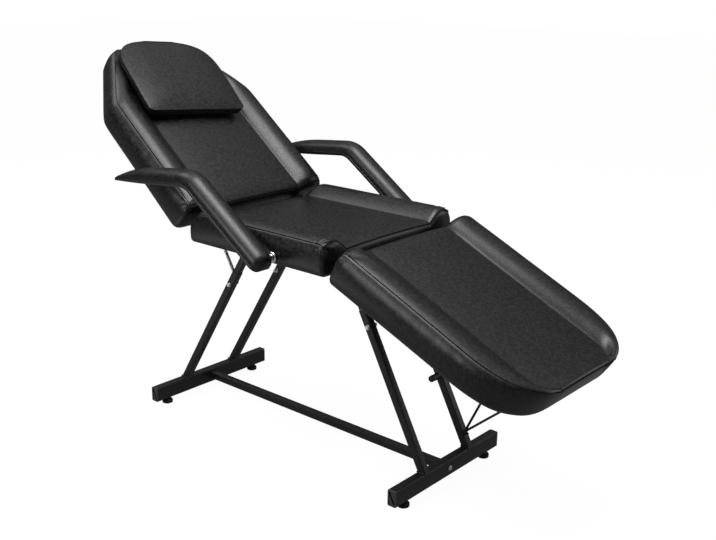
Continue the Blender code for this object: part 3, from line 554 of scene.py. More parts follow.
def section_rings(section):
    """Rings of a boxed cushion along its section, in metres in the chair's frame."""
    start, end = section["ends"]
    panel = [0.55 * (2.0 * i / PANEL_STEPS - 1.0) for i in range(PANEL_STEPS + 1)]
    panel = [f + 0.45 * math.sin(0.5 * math.pi * f / 0.55) for f in panel]
    rings = []
    for s in places_along(section):
        half = half_width(section, s) - SEAM_INSET
        inner = panel_half(section, half)
        sides = [inner + (half - inner) * q for q in ROLL_PLACES]
        ys = [-y for y in reversed(sides)] + [inner * f for f in panel] + sides
        fall = ends_cut(section, s, section["noses"])
        seam = section["seam"] - fall
        low = section["under"][0] + section["under"][1] * s
        low += ends_cut(section, s, section["keels"])
        # The bolsters of seat and back settle where the two meet, so that the back can come up
        full = 1.0 - section["settle"] * max(0.0, 1.0 - (s - start) / SETTLE_LENGTH) ** 2
        # The flat panel keeps a tighter end than the bolsters beside it
        tight = ends_cut(section, s, (section["panel_nose"], section["noses"][1]))
        tops = []
        for y in ys:
            drop = tight + (fall - tight) * ease((abs(y) / inner - 0.72) / 0.36)
            tops.append((s, y, section["seam"] + cover_height(section, y, half, full) - drop))
        # The seam draws the two skins in to a narrow groove
        tops[0] = (s, -half + SEAM_DRAW, seam)
        tops[-1] = (s, half - SEAM_DRAW, seam)
        walls = []
        for _, side in HANDS:
            wall = []
            for level in BAND_LEVELS[1:-1]:
                h = seam + (low - seam) * level
                # The band rounds in to the seam and stays full almost down to its lower edge
                power = 3.0 if level < 0.5 else 7.0
                belly = section["belly"] * (1.0 - abs(2.0 * level - 1.0) ** power)
                belly -= 0.6 * SEAM_DRAW * math.exp(-level / 0.02)
                belly += PUCKER_DEPTH * pucker(s, side) * math.exp(-(((level - 0.26) / 0.20) ** 2))
                belly -= BATTER * level + corner_cut(h - low, LOW_EDGE)
                wall.append((s, side * (half + belly), h))
            walls.append(wall)
        under = half - BATTER - LOW_EDGE
        beds = [(s, -y * under / half, low) for y in ys]
        ring = []
        for s_at, y, h in tops + walls[1] + beds + walls[0][::-1]:
            if section["lean"] > 0.0 and h < seam:
                depth = (section["seam"] - h) / LEAN_DEPTH
                s_at -= section["lean"] * depth * ease((s - end + LEAN_LENGTH) / LEAN_LENGTH)
            ring.append(point_of(section, s_at, y, h))
        rings.append(ring)
    return rings


def coordinates(piece):
    """The points of a mesh as rows of x, y and z."""
    spots = np.empty(len(piece.data.vertices) * 3, dtype=np.float32)
    piece.data.vertices.foreach_get("co", spots)
    return spots.reshape(-1, 3)


CLOTH_STEPS = 20


def blow_up(piece, held, push, reach):
    """Cloth under air pressure: the cover fills out between its seams, and no point moves past a reach."""
    before = coordinates(piece)
    group = piece.vertex_groups.new(name="seams")
    group.add(sorted(held), 1.0, "REPLACE")
    cloth = piece.modifiers.new("cover", "CLOTH")
    fabric = cloth.settings
    fabric.quality = 5
    fabric.mass = 0.35
    fabric.tension_stiffness = 30.0
    fabric.compression_stiffness = 30.0
    fabric.shear_stiffness = 12.0
    fabric.bending_stiffness = 4.0
    fabric.use_pressure = True
    fabric.uniform_pressure_force = push
    fabric.vertex_group_mass = "seams"
    fabric.effector_weights.gravity = 0.0
    cloth.collision_settings.use_collision = False
    cloth.point_cache.frame_start = 1
    cloth.point_cache.frame_end = CLOTH_STEPS
    for step in range(1, CLOTH_STEPS + 1):
        scene.frame_set(step)
    take_up(piece)
    bpy.ops.object.modifier_apply(modifier=cloth.name)
    scene.frame_set(1)
    move = np.nan_to_num(coordinates(piece) - before)
    length = np.linalg.norm(move, axis=1, keepdims=True) + 1e-9
    kept = before + move * (reach * np.tanh(length / reach) / length)
    piece.data.vertices.foreach_set("co", kept.astype(np.float32).ravel())
    piece.data.update()


def round_off(piece):
    """One subdivision, and smooth shading."""
    take_up(piece)
    smooth = piece.modifiers.new("smooth", "SUBSURF")
    smooth.levels = 1
    smooth.render_levels = 1
    bpy.ops.object.modifier_apply(modifier=smooth.name)
    bpy.ops.object.shade_smooth()
    put_down()


COVER_PRESSURE = 4.0
COVER_REACH = 0.0045
WELT_PLACE = 0.30  # how far over the nose the welt lies, as a share of its radius


def sewn_section(name, section):
    """A boxed cover of one section, and the lines of its welt."""
    rings = section_rings(section)
    piece = closed_skin(name, rings, TOP_STEPS, BAND_STEPS, END_SWELL)
    start, end = section["ends"]
    rows = places_along(section)
    near_start = start + WELT_PLACE * section["noses"][0]
    near_end = end - WELT_PLACE * section["noses"][1]
    first = min(range(len(rows)), key=lambda i: abs(rows[i] - near_start))
    last = min(range(len(rows)), key=lambda i: abs(rows[i] - near_end))
    around = len(rings[0])
    left = [i * around for i in range(first, last + 1)]
    right = [i * around + TOP_STEPS for i in range(first, last + 1)]
    foot = [last * around + j for j in range(1, TOP_STEPS)]
    head = [first * around + j for j in range(1, TOP_STEPS)]
    welt = left + foot + right[::-1] + head[::-1]
    held = set(welt)
    for i in range(len(rings)):
        held.update((i * around + ROLL_STEPS, i * around + ROLL_STEPS + PANEL_STEPS))
        bed = i * around + TOP_STEPS + BAND_STEPS
        held.update(range(bed - 2, bed + TOP_STEPS + 3))
    blow_up(piece, held, COVER_PRESSURE, COVER_REACH)
    round_off(piece)
    return piece, welt


GATHER_REACH = 0.045
GATHER_FOLDS = 6.0
SEAM_SINK = 0.004


def gathers(piece, spot, along, out, depth):
    """Short folds that fan out from a corner where the skin is drawn together."""
    spots = coordinates(piece)
    facing = np.empty(spots.size, dtype=np.float32)
    piece.data.vertices.foreach_get("normal", facing)
    away = spots - np.array(spot, dtype=np.float32)
    far = np.linalg.norm(away, axis=1)
    angle = np.arctan2(away @ np.array(out), away @ np.array(along))
    fold = np.sin(GATHER_FOLDS * angle + far / 0.011) * np.exp(-2.0 * (far / GATHER_REACH) ** 2)
    fold *= np.minimum(1.0, far / 0.010)
    spots = spots + facing.reshape(-1, 3) * (depth * fold)[:, None]
    piece.data.vertices.foreach_set("co", spots.astype(np.float32).ravel())
    piece.data.update()


def welt_cord(name, cover, line, radius, lift):
    """The welt sewn into a seam, lying a little out of the cover."""
    spots = [cover.data.vertices[i].co + cover.data.vertices[i].normal * lift for i in line]
    for _ in range(2):
        beside = zip(spots[-1:] + spots[:-1], spots, spots[1:] + spots[:1])
        spots = [spot * 0.5 + (before + after) * 0.25 for before, spot, after in beside]
    return bent_bar(name, spots, radius, True)


for label, section, body in SECTIONS:
    cover, line = sewn_section(label + "_cover", section)
    place, depth = section["gathers"]
    for _, side in HANDS:
        middle = point_of(section, place, side * (HALF_W - SEAM_SINK), section["seam"] - SEAM_SINK)
        gathers(cover, middle, section["along"], section["out"], depth)
    # Each welt lies sunk in its seam groove and takes the welt finish, whose darker colour is painted seam
    # shade.
    welt = welt_cord(label + "_welt", cover, line, 0.0021, -0.0005)
    fit(welt, body, WELT_SEAM_SHADE, "upholstery")
    fit(cover, body, LEATHER, "upholstery", label + "_cushion", label + "_board")

# Head pillow: a half moon with its straight edge down the back
PILLOW_START = 0.371
PILLOW_LEN = 0.322
PILLOW_HALF = 0.190
PILLOW_T = 0.058
PILLOW_CORNER = 0.022
PILLOW_STRAIGHT = 0.30  # share of the length before the half moon closes in
pillow_floor = min((v.co - BACK["origin"]).dot(BACK["out"]) for v in nodes["pillow"].data.vertices)


def pillow_half(s):
    """Half the width of the pillow at a distance from its straight edge."""
    base = PILLOW_HALF - corner_cut(s, PILLOW_CORNER)
    rise = max(0.0, (s / PILLOW_LEN - PILLOW_STRAIGHT) / (1.0 - PILLOW_STRAIGHT))
    return base * max(0.03, 1.0 - rise**5) ** (1.0 / 3.0)


def pillow_edge(s):
    """Height of the pillow's seam over its bed: low along the straight edge, higher towards the head."""
    return PILLOW_T * (0.43 + 0.07 * ease(s / 0.16))


def pillow_top(s, t):
    """Height of the pillow's upper panel over its bed, at a place along it and a share of its half width."""
    rise = 1.0 - (1.0 - min(1.0, s / 0.050)) ** 1.6
    fall = 1.0 - (1.0 - min(1.0, (PILLOW_LEN - s) / 0.060)) ** 2.0
    dome = rise * fall * (1.0 - abs(t) ** 5.0)
    return pillow_edge(s) + 0.18 * PILLOW_T * dome


# The pillow lies a little askew and rides up on the near roll
PILLOW_ASKEW = math.radians(6.5)


def pillow_spot(s, y, z):
    """A point of the pillow in the chair's frame, with its underside on the back's cover."""
    ahead = s - 0.5 * PILLOW_LEN
    along = PILLOW_START + 0.5 * PILLOW_LEN + ahead * math.cos(PILLOW_ASKEW) - y * math.sin(PILLOW_ASKEW)
    over = y * math.cos(PILLOW_ASKEW) + ahead * math.sin(PILLOW_ASKEW)
    half = half_width(BACK, along)
    rest = BACK["seam"] + cover_height(BACK, min(abs(over), 0.9 * half), half) + 0.004
    bed = max(pillow_floor, rest)
    lift = max(pillow_floor + z, bed + 0.5 * z)
    return point_of(BACK, along, over, lift)


PILLOW_ROWS = 44
PILLOW_TOP = 40
PILLOW_BAND = 6
across = [2.0 * j / PILLOW_TOP - 1.0 for j in range(PILLOW_TOP + 1)]
across = [0.6 * t + 0.4 * math.sin(0.5 * math.pi * t) for t in across]
pillow_rings = []
for i in range(PILLOW_ROWS + 1):
    s = PILLOW_LEN * 0.5 * (1.0 - math.cos(math.pi * i / PILLOW_ROWS))
    half = pillow_half(s)
    ring = [(s, half * t, pillow_top(s, t)) for t in across]
    band = []
    for k in range(1, PILLOW_BAND):
        f = k / PILLOW_BAND
        band.append((half * (1.0 + 0.012 * math.sin(math.pi * f) - 0.03 * f), pillow_edge(s) * (1.0 - f)))
    ring += [(s, y, z) for y, z in band]
    ring += [(s, -half * 0.965 * t, 0.0) for t in across]
    ring += [(s, -y, z) for y, z in reversed(band)]
    pillow_rings.append([pillow_spot(a, y, z) for a, y, z in ring])
pillow = closed_skin("head_pillow", pillow_rings, PILLOW_TOP, PILLOW_BAND, 0.004)
around = len(pillow_rings[0])
pillow_line = [i * around for i in range(1, PILLOW_ROWS)]
pillow_line += [(PILLOW_ROWS - 1) * around + j for j in range(1, PILLOW_TOP)]
pillow_line += [i * around + PILLOW_TOP for i in range(PILLOW_ROWS - 1, 0, -1)]
pillow_line += [around + j for j in range(PILLOW_TOP - 1, 0, -1)]
pillow_held = set(pillow_line)
for i in range(len(pillow_rings)):
    first = i * around + PILLOW_TOP + PILLOW_BAND
    pillow_held.update(range(first, first + PILLOW_TOP + 1))
blow_up(pillow, pillow_held, COVER_PRESSURE, 0.003)
round_off(pillow)
pillow_welt = welt_cord("pillow_welt", pillow, pillow_line, 0.0016, 0.0004)
fit(pillow_welt, "pillow", LEATHER, "upholstery")
fit(pillow, "pillow", LEATHER, "upholstery", "pillow")

# Arm rests: a padded bar that rises from its pivot and bends to level
ARM_X = 0.104
ARM_Z = SEAT_Z + 0.026
ARM_Y = 0.350
ARM_T = 0.043
ARM_OVER = 0.009  # how far the bar's middle runs above its pivot
ARM_END = 0.028  # the rounded lower end
ARM_END_STEPS = 9
ARM_SLOPE_LEN = 0.330
ARM_LEVEL_LEN = 0.350
ARM_BEND = 0.085
LEAST_STEP = 0.0012
slope = math.radians(35.0)
level = math.radians(5.4)
slope_run = Vector((-math.cos(slope), 0.0, math.sin(slope)))
level_run = Vector((-math.cos(level), 0.0, -math.sin(level)))
arm_over = Vector((math.sin(slope), 0.0, math.cos(slope))) * ARM_OVER


def arm_line():
    """Points from the lower end over the bend to the tip, each with its share of the full thickness."""
    turn = slope_run.angle(level_run)
    cut = ARM_BEND * math.tan(turn / 2.0)
    spots = []
    for k in range(ARM_END_STEPS):
        back = math.cos(0.5 * math.pi * k / (ARM_END_STEPS - 1))
        spots.append((slope_run * (-ARM_END * back), 0.30 + 0.70 * math.sqrt(max(0.0, 1.0 - back**2))))
    last = ARM_SLOPE_LEN - cut
    spots += [(slope_run * (last * i / 26.0), 1.0) for i in range(1, 27)]
    centre = slope_run * last + slope_run.cross(ACROSS).normalized() * ARM_BEND
    side = slope_run * last - centre
    spots += [(centre + Matrix.Rotation(-turn * i / 8.0, 3, "Y") @ side, 1.0) for i in range(1, 9)]
    run = ARM_LEVEL_LEN - cut
    start = spots[-1][0]
    for i in range(1, 34):
        f = i / 30.0 if i < 30 else 1.0 - 0.004 * (33 - i) ** 1.3
        down = 0.003 * max(0.0, (f - 0.5) / 0.5) ** 2
        thick = 1.0 - 0.72 * max(0.0, (f - 0.35) / 0.65) ** 2.2
        spots.append((start + level_run * (run * f) - Vector((0.0, 0.0, down)), thick))
    kept = [spots[0]]
    for spot in spots[1:]:
        if (spot[0] - kept[-1][0]).length > LEAST_STEP:
            kept.append(spot)
    return [(spot + arm_over, thick) for spot, thick in kept]


PAD_W = 0.074
PAD_T = 0.047
PAD_BASE = 0.009
PAD_SIDE = 0.006
ARM_TOP = 22
ARM_BAND = 3
arm_path = arm_line()
arm_rings = []
for i, (spot, thick) in enumerate(arm_path):
    run = (arm_path[min(len(arm_path) - 1, i + 1)][0] - arm_path[max(0, i - 1)][0]).normalized()
    above = Vector((run.z, 0.0, -run.x))
    above = above if above.z > 0.0 else -above
    slim = 0.30 if i < ARM_END_STEPS else 0.55
    end = min(1.0, slim + (1.0 - slim) * thick)
    low = -ARM_T / 2.0 - 0.003
    bed = low + PAD_BASE
    ring = []
    for k in range(ARM_TOP + 1):
        angle = math.pi - math.pi * k / ARM_TOP
        wide = math.copysign(abs(math.cos(angle)) ** 0.95, math.cos(angle))
        tall = bed + PAD_SIDE + (PAD_T - PAD_BASE - PAD_SIDE) * max(0.0, math.sin(angle)) ** 0.95
        ring.append((PAD_W / 2.0 * wide, tall if 0 < k < ARM_TOP else bed))
    band = [(PAD_W / 2.0 * (1.0 - 0.04 * f), bed - PAD_BASE * f) for f in (0.35, 0.7)]
    ring += band + [(PAD_W * 0.46 * (1.0 - 2.0 * k / ARM_TOP), low) for k in range(ARM_TOP + 1)]
    ring += [(-y, up) for y, up in reversed(band)]
    pinch = 0.0045 - ARM_T / 2.0
    arm_rings.append([spot + above * (pinch + (up - pinch) * thick) + ACROSS * y * end for y, up in ring])

for hand, side in HANDS:
    pivot = Vector((MID_X + ARM_X, side * ARM_Y, ARM_Z))
    rings = [[pivot + p for p in ring] for ring in arm_rings]
    arm = closed_skin("arm_cover_" + hand, rings, ARM_TOP, ARM_BAND)
    around = len(rings[0])
    edge = [i * around for i in range(2, len(rings) - 1)]
    edge += [i * around + ARM_TOP for i in range(len(rings) - 2, 1, -1)]
    arm_held = set(edge)
    for i in range(len(rings)):
        arm_held.update(range(i * around + ARM_TOP, (i + 1) * around))
    blow_up(arm, arm_held, 3.0, 0.0015)
    round_off(arm)
    seam = welt_cord("arm_seam_" + hand, arm, edge, 0.0014, 0.0006)
    fit(seam, "arm_" + hand, LEATHER, "upholstery")
    fit(arm, "arm_" + hand, LEATHER, "upholstery", "arm_pad_" + hand, "arm_core_" + hand)

# Linings stapled under the three boards
LINING_IN = 0.030
LINING_T = 0.0009
LINING_STEPS = 30
for label, section, body in SECTIONS:
    start, end = section["ends"]
    first, last = start + section["keels"][0] + 0.012, end - section["keels"][1] - 0.026
    rows = [first + (last - first) * i / LINING_STEPS for i in range(LINING_STEPS + 1)]
    outline = [(s, half_width(section, s) - LINING_IN) for s in rows]
    outline += [(s, -y) for s, y in reversed(outline)]
    put_down()
    bpy.ops.mesh.primitive_circle_add(vertices=len(outline), radius=0.1, fill_type="NGON")
    sheet = bpy.context.object
    for corner, (s, y) in zip(sheet.data.vertices, outline):
        h = section["under"][0] + section["under"][1] * s - 0.0002
        corner.co = point_of(section, s, y, h)
    edit_all()
    bpy.ops.mesh.extrude_region_move(TRANSFORM_OT_translate={"value": tuple(section["out"] * -LINING_T)})
    fit(wrap_up(sheet, label + "_lining"), body, LINING, "upholstery")


# Base frame
def leg_x(label, z):
    """X of a leg's middle at a height."""
    top = REAR_TOP_X if label == "rear" else FRONT_TOP_X
    low = -BEAM_X if label == "rear" else BEAM_X
    return MID_X + low + (top - low) * (z - BEAM_TOP) / (SEAT_Z - BEAM_TOP)


WELD_RADIUS = 0.0019
WELD_RIPPLE = 0.0022
WELD_OUT = 0.0004


def weld(name, middle, half_x, half_y, tilt=0.0):
    """A weld bead round the foot of a tube: a ring of ripples."""
    corners = [(-half_x, -half_y), (half_x, -half_y), (half_x, half_y), (-half_x, half_y)]
    spots = []
    for (ax, ay), (bx, by) in zip(corners, corners[1:] + corners[:1]):
        steps = max(4, round(math.hypot(bx - ax, by - ay) / WELD_RIPPLE))
        for i in range(steps):
            f = i / steps
            spots.append(Vector((ax + (bx - ax) * f, ay + (by - ay) * f, 0.0)))
    turn = Matrix.Rotation(tilt, 3, "Y")
    spots = [Vector(middle) + turn @ p for p in spots]
    return bent_bar(name, spots, WELD_RADIUS, True, lambda i: 0.85 + 0.30 * (i % 2), 2)


for label, side in ENDS:
    x = MID_X + side * BEAM_X
    near, far = (x, -BEAM_HALF, BEAM_Z), (x, BEAM_HALF, BEAM_Z)
    beam = drawn_tube("beam_tube_" + label, near, far, BEAM_SIZE, BEAM_CORNER)
    fit(beam, "base", *STEEL, "beam_" + label)

put_down()
bpy.ops.mesh.primitive_cube_add(size=1.0)
plug = bpy.context.object
edit_all()
bpy.ops.transform.resize(value=(BEAM_SIZE[0], PLUG_T, BEAM_SIZE[1]))
pick(plug, "EDGE", lambda e: abs(e.verts[0].co.y - e.verts[1].co.y) > 0.001)
bpy.ops.mesh.bevel(offset=BEAM_CORNER, segments=4, profile=0.5, affect="EDGES")
pick(plug, "EDGE", lambda e: all(v.co.y < -0.0019 for v in e.verts))
bpy.ops.mesh.bevel(offset=0.0012, segments=3, profile=0.5, affect="EDGES")
pick(plug, "FACE", lambda f: f.normal.y < -0.9 and f.calc_area() > 0.0004)
bpy.ops.mesh.inset(thickness=0.0035)
bpy.ops.mesh.extrude_region_move(TRANSFORM_OT_translate={"value": (0.0, 0.0009, 0.0)})
bpy.ops.mesh.inset(thickness=0.0006)
wrap_up(plug, "plug_pattern", 40.0)

foot_outline = [(0.0155, 0.0), (0.0172, 0.0010), (0.0180, 0.0028), (0.0180, 0.0050), (0.0175, 0.0054)]
foot_outline += [(0.0175, 0.0062), (0.0180, 0.0066), (0.0180, 0.0095), (0.0172, 0.0112)]
foot_outline += [(0.0150, 0.0126), (0.0118, 0.0134), (0.0112, 0.0142), (0.0112, 0.0197)]
foot = turned_piece("foot_pattern", foot_outline, 40, (0.0, 0.0, 0.0), UP)
plug_y = BEAM_HALF + PLAY + PLUG_T / 2.0
for label, side in ENDS:
    x = MID_X + side * BEAM_X
    for hand, y_side in HANDS:
        tag = label + "_" + hand
        turn = 0.0 if hand == "near" else math.pi
        cap = another(plug, "end_plug_" + tag, (x, y_side * plug_y, BEAM_Z), turn)
        fit(cap, "base", PLUG, "end_plug", "plug_" + tag)
        pad = another(foot, "foot_pad_" + tag, (x, y_side * FOOT_Y, 0.0))
        fit(pad, "base", RUBBER, "rubber", "foot_" + tag)
for pattern in (plug, foot):
    bpy.data.objects.remove(pattern, do_unlink=True)

tube_face = TUBE / 2.0 + PLAY
beam_face = BEAM_SIZE[0] / 2.0 + PLAY
reach = BEAM_X - beam_face
rear, front = (MID_X - reach, 0.0, BEAM_Z), (MID_X + reach, 0.0, BEAM_Z)
bar = drawn_tube("stretcher_tube", rear, front, (TUBE, TUBE), TUBE_CORNER)
fit(bar, "base", *STEEL, "stretcher")
screw_outline = [(0.0080, 0.0), (0.0080, 0.0011), (0.0077, 0.0013), (0.0070, 0.0013), (0.0070, 0.0022)]
screw_outline += [(0.0066, 0.0036), (0.0056, 0.0045), (0.0044, 0.0049), (0.0032, 0.0050)]
screw_outline += [(0.0030, 0.0047), (0.0030, 0.0026), (0.0002, 0.0022)]
for label, side in ENDS:
    spot = (MID_X + side * (BEAM_X + beam_face), 0.0, BEAM_Z)
    screw = turned_piece("stretcher_screw_" + label, screw_outline, 32, spot, (side, 0.0, 0.0))
    fit(screw, "base", *BRIGHT, "stretcher_bolt_" + label)
    spot = (MID_X + side * (reach - 0.0005), 0.0, BEAM_Z)
    bead = weld("stretcher_weld_" + label, spot, tube_face, tube_face, math.pi / 2.0)
    fit(bead, "base", *STEEL)

# Legs: a lower tube, a narrower stub from the seat, and the bolt that joins them
BOLT_BELOW = 0.048  # from the stub's end down to the bolt
head_outline = [(0.0075, 0.0), (0.0075, 0.0010), (0.0072, 0.0012)]
on_tube = Vector((0.0, 0.0, tube_face))
on_washer = on_tube + UP * head_outline[-1][1]
washer = turned_piece("washer", head_outline, 32, on_tube, UP)
hexagon = [(0.0066, 0.0), (0.0070, 0.0004), (0.0070, 0.0036), (0.0060, 0.0043)]
head = turned_piece("head", hexagon, 6, on_washer, UP, 20.0)
rod = turned_piece("rod", [(0.0040, -0.0127), (0.0040, 0.0127)], 20, (0.0, 0.0, 0.0), UP)
nut_ring = turned_piece("nut_ring", head_outline, 32, -on_tube, -UP)
nut_outline = [(0.0064, 0.0), (0.0070, 0.0005), (0.0070, 0.0062), (0.0062, 0.0069)]
nut = turned_piece("nut", nut_outline, 6, -on_washer, -UP, 20.0)
dome_outline = [(0.0058, 0.0060), (0.0057, 0.0085), (0.0052, 0.0105), (0.0042, 0.0121)]
dome_outline += [(0.0026, 0.0130), (0.0008, 0.0132)]
dome = turned_piece("dome", dome_outline, 24, -on_washer, -UP)
bolt = joined("bolt_pattern", [washer, head, rod, nut_ring, nut, dome], 30.0)
bolt.data.transform(Matrix.Rotation(math.radians(90.0), 4, "X"))

for label, _ in ENDS:
    for hand, y_side in HANDS:
        tag = label + "_" + hand
        y = y_side * LEG_Y
        low = Vector((leg_x(label, BEAM_TOP + PLAY), y, BEAM_TOP + PLAY))
        mid = Vector((leg_x(label, STUB_Z), y, STUB_Z))
        top = Vector((leg_x(label, RAIL_BOTTOM - PLAY), y, RAIL_BOTTOM - PLAY))
        run = (top - low).normalized()
        tube = drawn_tube("leg_tube_" + tag, low, mid - run * PLAY, (TUBE, TUBE), TUBE_CORNER, low_cut=-UP)
        fit(tube, "base", *STEEL, "leg_" + tag)
        stub = drawn_tube("leg_stub_" + tag, mid, top, (STUB, STUB), STUB_CORNER, high_cut=UP)
        fit(stub, "base", *STEEL, "stub_" + tag)
        # A sawn tube is longer along the chair than across it
        for part, size, x, z in (
            ("leg", TUBE, low.x, BEAM_TOP + 0.0006),
            ("stub", STUB, top.x, RAIL_BOTTOM - 0.0008),
        ):
            stretch = size / 2.0 / abs(run.z) + WELD_OUT
            bead = weld(part + "_weld_" + tag, (x, y, z), stretch, size / 2.0 + WELD_OUT)
            fit(bead, "base", *STEEL)
        bolt_z = STUB_Z - BOLT_BELOW
        turn = 0.0 if hand == "near" else math.pi
        made = another(bolt, "leg_bolt_set_" + tag, (leg_x(label, bolt_z), y, bolt_z), turn)
        fit(made, "base", *BRIGHT, "leg_bolt_" + tag)
bpy.data.objects.remove(bolt, do_unlink=True)

knob_outline = [(0.0085, 0.0), (0.0098, 0.0010), (0.0100, 0.0025)]
for i in range(5):
    y = 0.006 + 0.006 * i
    knob_outline += [(0.0100, y), (0.0092, y + 0.0008), (0.0092, y + 0.0016), (0.0100, y + 0.0024)]
knob_outline += [(0.0100, 0.0355), (0.0092, 0.0372), (0.0075, 0.0380), (0.0004, 0.0380)]
KNOB_Z = 0.272
knob_at = (leg_x("front", KNOB_Z), LEG_Y - tube_face, KNOB_Z)
knob = turned_piece("grip_knob", knob_outline, 32, knob_at, -ACROSS)
fit(knob, "base", *STEEL, "leg_knob")

# Sleeves that carry the arm rests, each with a domed rose on the seat's side
spacer_low = HALF_W - 0.0027
spacer_len = ARM_Y - PAD_W / 2.0 - PLAY - spacer_low
spacer_outline = [(0.0118, 0.0), (0.0118, 0.0124), (0.0160, 0.0126), (0.0168, 0.0134), (0.0167, 0.0146)]
spacer_outline += [(0.0160, 0.0162), (0.0146, 0.0178), (0.0126, 0.0190), (0.0108, 0.0194)]
spacer_outline += [(0.0108, spacer_len)]
for hand, side in HANDS:
    spot = (MID_X + ARM_X, side * spacer_low, ARM_Z)
    spacer = turned_piece("arm_sleeve_" + hand, spacer_outline, 48, spot, ACROSS * side)
    fit(spacer, "base", CHROME, "chrome", "arm_spacer_" + hand)

# Wire stays: black at the front, bright at the rear; each prop ends in the shoe that it stands on
WIRE_STEP = 0.00325
WIRE_STEPS = 24
SHOE_HALF = 0.0065
shoe_outline = [(0.0044, 0.0), (0.0050, 0.0006), (0.0050, 0.0124), (0.0044, 0.0130)]
for tag, shoe, angles, turn, radius, look in (
    ("front", Vector((MID_X + 0.5114, 0.1035, 0.119)), (64.8, 40.6), 1.0, 0.0038, STEEL),
    ("rear", Vector((MID_X - 0.2842, -0.0842, 0.4783)), (120.6, 120.6), -1.0, 0.0030, BRIGHT),
):
    for part, degrees, way in (("prop", angles[0], -turn), ("brace", angles[1], turn)):
        node = tag + "_stay_" + part
        top_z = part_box(node)[1].z - 0.0012
        aim = Vector((math.cos(math.radians(degrees)), 0.0, math.sin(math.radians(degrees))))
        foot_at = shoe + ACROSS * (way * WIRE_STEP)
        reach = (top_z - shoe.z) / aim.z
        skip = 0.002 if part == "prop" else 0.0058
        spots = [foot_at + aim * (skip + (reach - skip) * i / WIRE_STEPS) for i in range(WIRE_STEPS + 1)]
        pieces = [bent_bar(node + "_wire", spots, radius)]
        if part == "prop":
            pieces.append(turned_piece("shoe", shoe_outline, 24, shoe - ACROSS * SHOE_HALF, ACROSS))
        made = joined(node + "_rod", pieces, 50.0)
        fit(made, tag + "_stay", *look, node)

# Rails, hinges, tracks and catches keep their solids
kinds = ("seat_rail", "back_ear", "back_hinge", "leg_ear", "leg_hinge")
plain = [kind + "_" + hand for kind in kinds for hand, _ in HANDS]
for tag, _ in ENDS:
    plain += [tag + "_stay_track", tag + "_stay_slider", tag + "_peg"]
for name in plain:
    nodes[name].material_slots[0].material = COAT

# Studio: a pale floor, white surroundings and soft boxes
put_down()
bpy.ops.mesh.primitive_plane_add(size=40.0)
floor = bpy.context.object
floor.name = "studio_floor"
pale, tree, shader = finish("pale_floor", {"Roughness": 0.9, "Specular IOR Level": 0.1})
path = add(tree, "LightPath").outputs
# The eye sees a white floor with a weak shadow; the chair sees it as mid grey, as beyond dark cards
blend = {"Factor": path["Is Camera Ray"], "A": tone("#646464"), "B": tone("#f4f4f4")}
ground = add(tree, "Mix", blend, data_type="RGBA")
feed(tree, shader, {"Base Color": ground.outputs["Result"]})
gloss = add(tree, "Math", {0: path["Is Glossy Ray"], 1: 0.15}, operation="MULTIPLY")
direct = {0: path["Is Camera Ray"], 1: path["Is Transmission Ray"]}
seen = add(tree, "Math", direct, operation="MAXIMUM")
share = add(tree, "Math", {0: seen.outputs[0], 1: 0.88}, operation="MULTIPLY")
share = add(tree, "Math", {0: share.outputs[0], 1: gloss.outputs[0]}, operation="MAXIMUM")
glow = add(tree, "Emission", {"Color": tone("#ffffff"), "Strength": 1.09})
both = add(tree, "MixShader", {0: share.outputs[0], 1: shader.outputs[0], 2: glow.outputs[0]})
feed(tree, tree.nodes["Material Output"], {"Surface": both.outputs[0]})
floor.data.materials.append(pale)

world = bpy.data.worlds.new("studio")
scene.world = world
world.use_nodes = True
tree = world.node_tree
path = add(tree, "LightPath").outputs
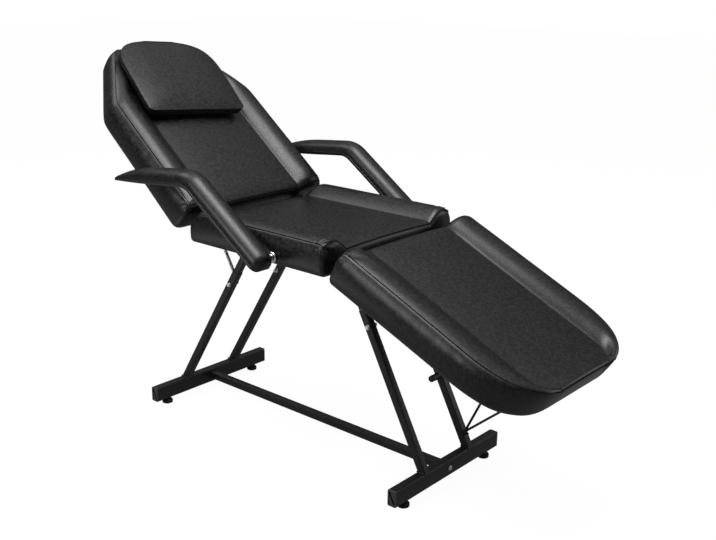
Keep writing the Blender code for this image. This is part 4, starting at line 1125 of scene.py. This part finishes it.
# White to the eye; in reflections and for light it is white overhead and falls off towards the horizon
aim = add(tree, "SeparateXYZ", {"Vector": add(tree, "TexCoord").outputs["Generated"]})
above = add(tree, "Math", {0: aim.outputs["Z"], 1: 0.0}, operation="MAXIMUM")
rise = add(tree, "Math", {0: above.outputs[0], 1: 3.7}, operation="POWER")
gloss = add(tree, "Math", {0: path["Is Glossy Ray"], 1: rise.outputs[0]}, operation="MULTIPLY")
direct = {0: path["Is Camera Ray"], 1: path["Is Transmission Ray"]}
seen = add(tree, "Math", direct, operation="MAXIMUM")
seen = add(tree, "Math", {0: seen.outputs[0], 1: gloss.outputs[0]}, operation="MAXIMUM")
fall = add(tree, "MapRange", {"Value": rise.outputs[0], "To Min": 0.08, "To Max": 0.60})
soft = add(tree, "Background", {"Color": tone("#ffffff"), "Strength": fall.outputs["Result"]})
white = add(tree, "Background", {"Color": tone("#ffffff"), "Strength": 1.0})
both = add(tree, "MixShader", {0: seen.outputs[0], 1: soft.outputs[0], 2: white.outputs[0]})
feed(tree, tree.nodes["World Output"], {"Surface": both.outputs[0]})


def soft_box(name, place, aim, size, power):
    """A rectangular studio lamp turned towards a point."""
    lamp = bpy.data.lights.new(name, "AREA")
    lamp.shape = "RECTANGLE"
    lamp.size, lamp.size_y = size
    lamp.energy = power
    made = set_down(name, lamp)
    made.location = place
    made.rotation_euler = (Vector(aim) - Vector(place)).to_track_quat("-Z", "Y").to_euler()


soft_box("overhead_box", (0.25, -0.45, 3.2), (0.25, -0.44, 0.0), (1.1, 1.2), 36.0)
soft_box("wide_box", (0.2, -0.75, 3.25), (0.2, -0.74, 0.0), (1.2, 3.0), 38.0)
soft_box("rear_box", (-1.9, -0.9, 3.1), (-0.2, -0.2, 0.7), (1.4, 1.3), 20.0)
soft_box("side_box", (-0.4, -2.8, 1.6), (0.3, 0.0, 0.6), (1.2, 1.0), 22.0)
soft_box("front_box", (2.2, 2.3, 1.4), (0.3, 0.0, 0.5), (1.5, 1.2), 11.0)
soft_box("floor_card", (-1.1, -1.3, 0.02), (-1.1, -1.3, 2.0), (1.3, 0.6), 3.0)

lens = bpy.data.cameras.new("camera")
lens.sensor_width = 36.0
lens.lens = 50.30
lens.shift_x = 0.01306
lens.shift_y = -0.0055
camera = set_down("camera", lens)
right = Vector((0.7536, 0.6572, 0.0119))
upward = Vector((-0.1981, 0.2098, 0.9574))
behind = Vector((0.6267, -0.7239, 0.2883))
turn = Matrix((right, upward, behind)).transposed().to_4x4()
camera.matrix_world = Matrix.Translation((1.9816, -2.1955, 1.4545)) @ turn
scene.camera = camera

scene.view_settings.view_transform = "Standard"
put_down()
